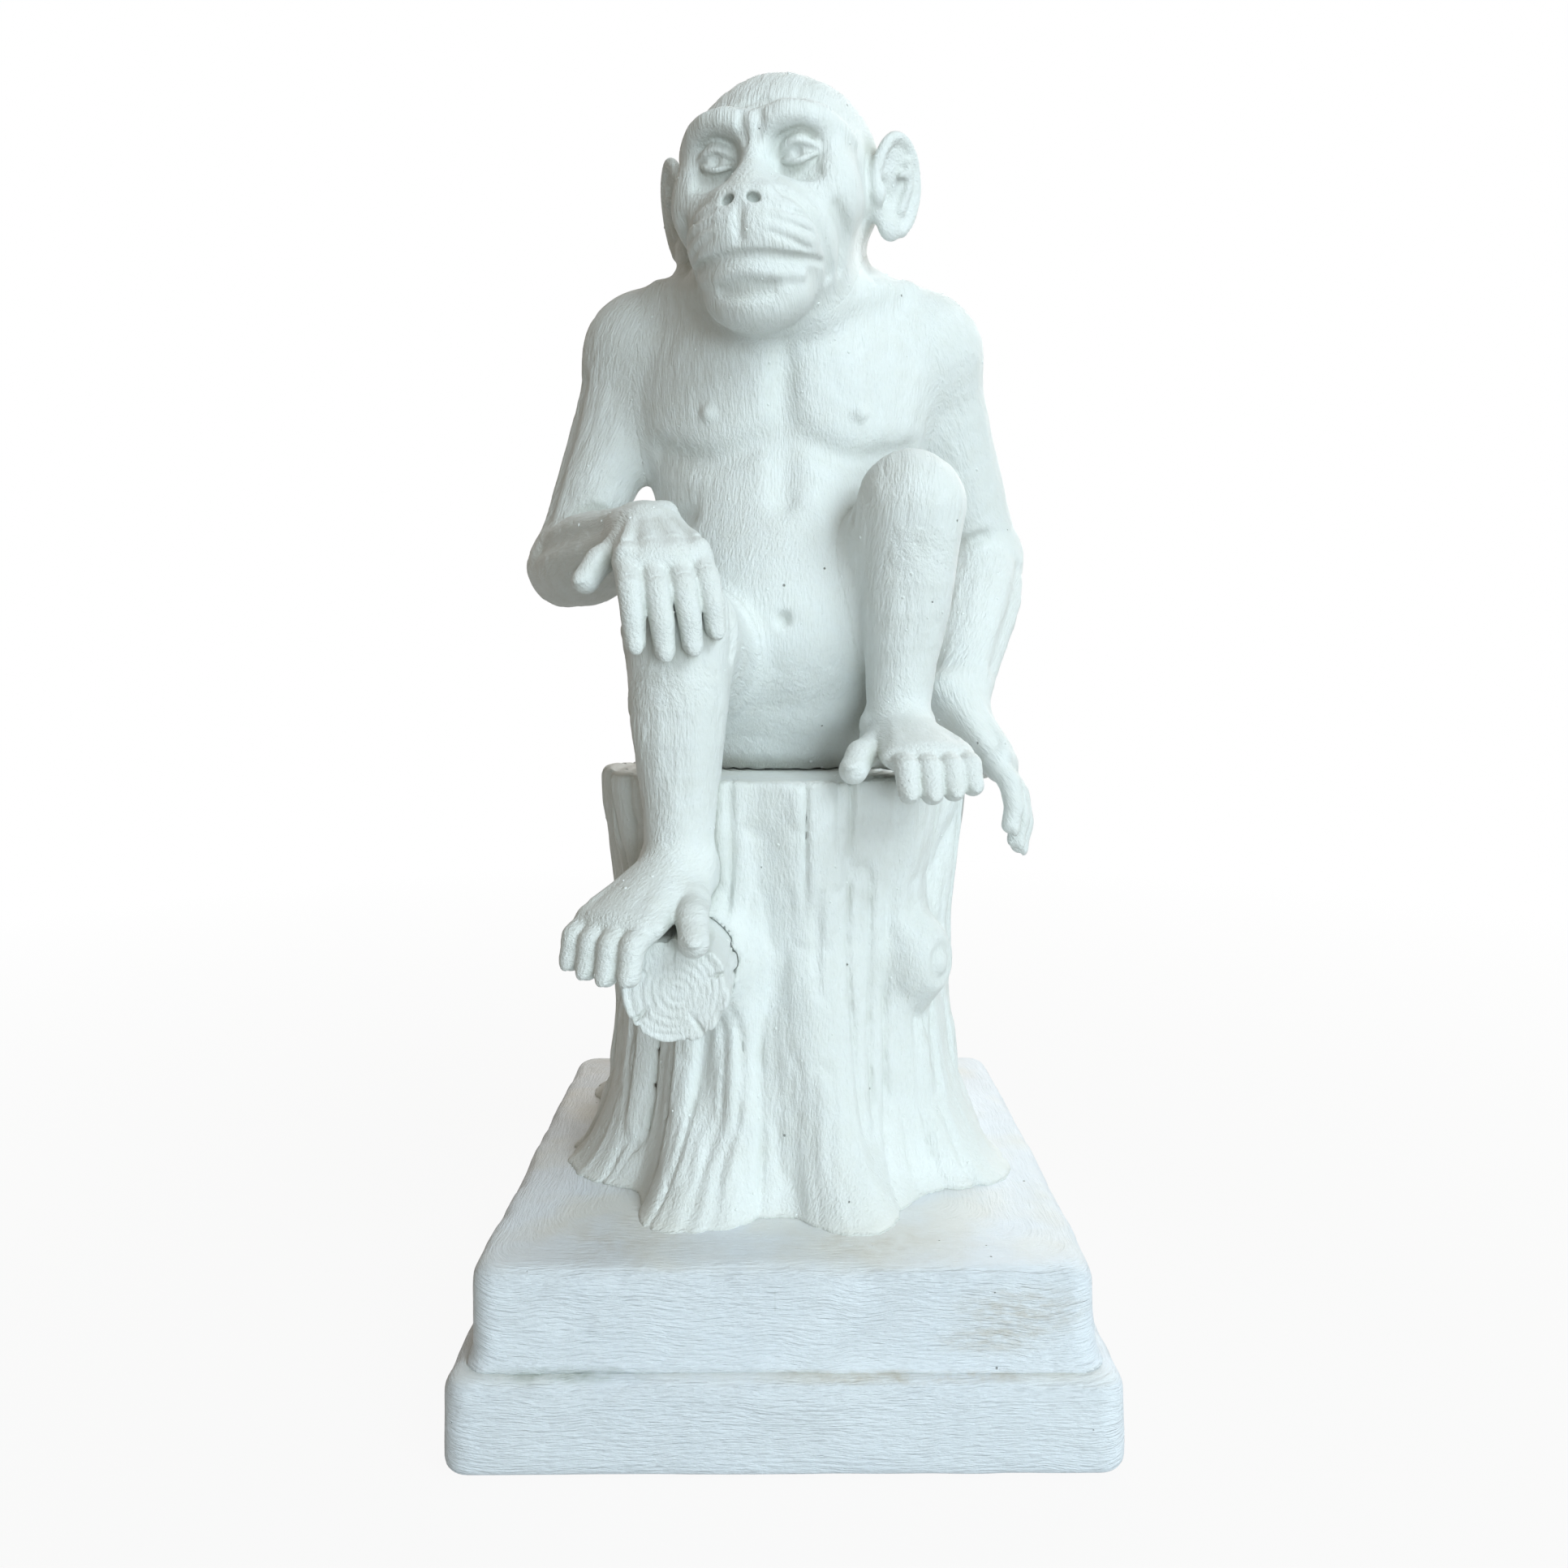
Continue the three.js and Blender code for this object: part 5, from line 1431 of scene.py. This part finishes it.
def pressed_felt(name):
    """Dark green pressed felt: matted fibres and a soft sheen."""
    f = Finish(name)
    place = f.place()
    fibres = f.cloud(place, 2600, 5, 0.7)
    clumps = f.cloud(place, 420, 3)
    colour = f.tint(f.shift(fibres, 0.3, 0.7), (0.018, 0.045, 0.026, 1), (0.05, 0.1, 0.062, 1))
    f.set("Base Color", f.tint(f.shift(clumps, 0.4, 0.7, 0, 0.5), colour, (0.03, 0.06, 0.04, 1)))
    f.set("Roughness", 0.95)
    f.set("Sheen Weight", 0.4)
    f.bump(0.9, 0.25 * MM, f.plus(f.times(fibres, 0.5), clumps))
    return f.material


front = CAP_LOW[1]
plinth_stains = [
    ((48, front, FOOT_TOP + 12), (17, 8, 7), 0.62, BROWN),
    ((42, front, FOOT_TOP + 6), (14, 8, 4), 0.55, BROWN),
    ((-44, front - 2, FOOT_TOP), (20, 6, 1.5), 0.9, GRIME),
    ((26, front - 2, FOOT_TOP - 0.3), (40, 6, 1.1), 0.6, BROWN),
    ((-36, front + 12, CAP_TOP), (26, 14, 4), 0.25, BROWN),
    ((16, front + 11, CAP_TOP), (30, 12, 4), 0.25, BROWN),
    ((-2, front, FOOT_TOP + 14), (0.3, 3, 3), 0.9, GRIME),
]
FIGURE_WHITES = [
    (0.80, 0.835, 0.84, 1),
    (0.83, 0.86, 0.865, 1),
    (0.79, 0.815, 0.80, 1),
    (0.735, 0.76, 0.765, 1),
]
# The white paint made lighter and bluer on the plinth than on the figure: painted cool light.
PLINTH_LIT_WHITES = [
    (0.82, 0.875, 0.95, 1),
    (0.85, 0.90, 0.965, 1),
    (0.82, 0.865, 0.925, 1),
    (0.755, 0.805, 0.87, 1),
]
figure_paint = plaster_paint("figure_paint", FIGURE_WHITES, 0.24, 0.2)
stump_paint = plaster_paint("stump_paint", FIGURE_WHITES, 0.24, 0.3, 0.2)
plinth_paint = plaster_paint("plinth_paint", PLINTH_LIT_WHITES, 0.42, STEP_STROKES, 0.35, plinth_stains)
steel_finish = drawn_steel("rod_steel")
felt_finish = pressed_felt("pad_felt")


# Nodules of plaster and paint, scattered over the castings

NODULES = {
    "Nodules per square metre": 5200.0,
    "Smallest radius": 0.13 * MM,
    "Largest radius": 0.42 * MM,
    "Flatness": 0.6,
}


def nodule_tree(finish):
    """Flattened balls of random sizes on the faces of a mesh."""
    tree = bpy.data.node_groups.new("scatter_nodules", "GeometryNodeTree")
    tree.interface.new_socket("Castings", in_out="INPUT", socket_type="NodeSocketGeometry")
    for label in NODULES:
        tree.interface.new_socket(label, in_out="INPUT", socket_type="NodeSocketFloat")
    tree.interface.new_socket("Nodules", in_out="OUTPUT", socket_type="NodeSocketGeometry")
    n = Nodes(tree)
    given = n.put("NodeGroupInput").outputs
    spread = {"Mesh": given["Castings"], "Density": given["Nodules per square metre"], "Seed": 11}
    points = n.put("GeometryNodeDistributePointsOnFaces", spread, distribute_method="RANDOM").outputs
    sizes = {2: given["Smallest radius"], 3: given["Largest radius"], 8: 5}
    radius = n.put("FunctionNodeRandomValue", sizes, data_type="FLOAT").outputs[1]
    flat = n.times(radius, given["Flatness"])
    scale = n.put("ShaderNodeCombineXYZ", {"X": radius, "Y": radius, "Z": flat}).outputs["Vector"]
    ball = n.put("GeometryNodeMeshIcoSphere", {"Radius": 1.0, "Subdivisions": 2}).outputs["Mesh"]
    placing = {"Points": points["Points"], "Instance": ball, "Rotation": points["Rotation"], "Scale": scale}
    placed = n.put("GeometryNodeInstanceOnPoints", placing).outputs["Instances"]
    whole = n.put("GeometryNodeRealizeInstances", {"Geometry": placed}).outputs["Geometry"]
    smooth = n.put("GeometryNodeSetShadeSmooth", {"Geometry": whole}).outputs["Geometry"]
    painted = n.put("GeometryNodeSetMaterial", {"Geometry": smooth, "Material": finish}).outputs["Geometry"]
    n.put("NodeGroupOutput", {"Nodules": painted})
    return tree


def scatter_nodules(bodies, finish):
    """One piece with all the nodules, on the castings' own surfaces."""
    vertices = np.vstack([body[1] for body in bodies])
    starts = np.cumsum([0] + [len(body[1]) for body in bodies[:-1]])
    quads = np.vstack([body[2] + start for body, start in zip(bodies, starts)])
    piece = mesh_piece("casting_nodules", vertices, quads, {})
    modifier = piece.modifiers.new("scatter", "NODES")
    modifier.node_group = nodule_tree(finish)
    for item in modifier.node_group.interface.items_tree:
        if item.name in NODULES:
            modifier[item.identifier] = NODULES[item.name]
    graph = bpy.context.evaluated_depsgraph_get()
    mesh = bpy.data.meshes.new_from_object(piece.evaluated_get(graph))
    piece.modifiers.remove(modifier)
    piece.data = mesh
    mesh.name = "casting_nodules"
    return piece


# Pieces of the frame

finishes = {
    "tree_stump": stump_paint,
    "branch_stub": stump_paint,
    "plinth_cap": plinth_paint,
    "plinth_foot": plinth_paint,
}
for name, vertices, quads, facts in castings:
    piece = mesh_piece(name + "_casting", vertices, quads, facts)
    piece.data.materials.append(finishes.get(name, figure_paint))
    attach(piece, "root")
    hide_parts(name)

nodules = scatter_nodules(castings[:8], figure_paint)
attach(nodules, "root")

for name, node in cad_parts.items():
    finish = felt_finish if name.startswith("felt_pad") else steel_finish
    if name.startswith("felt_pad") or name.endswith(("_rod", "_pin", "_wire")):
        for place in node.material_slots:
            place.material = finish


# Floor, lights and camera


def studio_floor():
    mesh = bpy.data.meshes.new("floor")
    mesh.from_pydata([(-6, -6, 0), (6, -6, 0), (6, 6, 0), (-6, 6, 0)], [], [(0, 1, 2, 3)])
    floor = bpy.data.objects.new("floor", mesh)
    bpy.context.scene.collection.objects.link(floor)
    material = bpy.data.materials.new("floor_white")
    material.use_nodes = True
    n = Nodes(material.node_tree)
    n.tree.nodes.clear()
    seen = backdrop_rays(n)
    matt = n.put("ShaderNodeBsdfDiffuse", {"Color": (0.40, 0.40, 0.38, 1)})
    glow = n.put("ShaderNodeEmission", {"Color": (1, 1, 1, 1), "Strength": 1.0})
    share = n.times(seen, n.shift(n.length(n.place()), 0.15, 0.7, 0.93, 1.0))
    mixed = n.put("ShaderNodeMixShader", {0: share, 1: matt.outputs[0], 2: glow.outputs[0]})
    n.put("ShaderNodeOutputMaterial", {"Surface": mixed.outputs[0]})
    mesh.materials.append(material)


def backdrop_rays(n):
    """1 for rays that see the backdrop, straight or in a reflection, 0 for those that light the object."""
    ray = n.put("ShaderNodeLightPath").outputs
    seen = n.sums("MAXIMUM", ray["Is Camera Ray"], ray["Is Glossy Ray"])
    return n.sums("MAXIMUM", seen, ray["Is Transmission Ray"])


def studio_world():
    world = bpy.data.worlds.new("studio")
    bpy.context.scene.world = world
    world.use_nodes = True
    n = Nodes(world.node_tree)
    n.tree.nodes.clear()
    seen = backdrop_rays(n)
    fill = n.put("ShaderNodeBackground", {"Color": (1.0, 0.86, 0.62, 1), "Strength": 0.2})
    white = n.put("ShaderNodeBackground", {"Color": (1, 1, 1, 1), "Strength": 1.0})
    mixed = n.put("ShaderNodeMixShader", {0: seen, 1: fill.outputs[0], 2: white.outputs[0]})
    n.put("ShaderNodeOutputWorld", {"Surface": mixed.outputs[0]})


def soft_box(name, place, width, watts, colour):
    """A square lamp that points at the middle of the object."""
    lamp = bpy.data.lights.new(name, "AREA")
    lamp.shape = "SQUARE"
    lamp.size = width
    lamp.energy = watts
    lamp.color = colour
    box = bpy.data.objects.new(name, lamp)
    box.location = place
    box.rotation_euler = (Vector((0, 0, 0.15)) - Vector(place)).to_track_quat("-Z", "Y").to_euler()
    bpy.context.scene.collection.objects.link(box)


def studio_camera():
    lens = bpy.data.cameras.new("camera")
    lens.sensor_width = SENSOR_WIDTH
    lens.lens = FOCAL_PIXELS / PHOTO_WIDTH * SENSOR_WIDTH
    lens.clip_start = 0.01
    camera = bpy.data.objects.new("camera", lens)
    camera.location = np.array(CAMERA_PLACE) * MM
    camera.rotation_euler = (math.radians(90 - CAMERA_DOWN), 0, math.radians(CAMERA_TURN))
    bpy.context.scene.collection.objects.link(camera)
    bpy.context.scene.camera = camera


studio_floor()
studio_world()
soft_box("key", (0.66, -0.72, 0.82), 0.6, 8.5, (0.80, 0.94, 1.0))
soft_box("front", (0.30, -1.00, 0.08), 0.5, 7.0, (0.80, 0.94, 1.0))
soft_box("back", (0.35, 0.85, 0.65), 0.9, 7.0, (1.0, 0.99, 0.96))
studio_camera()
bpy.context.scene.view_settings.view_transform = "Standard"
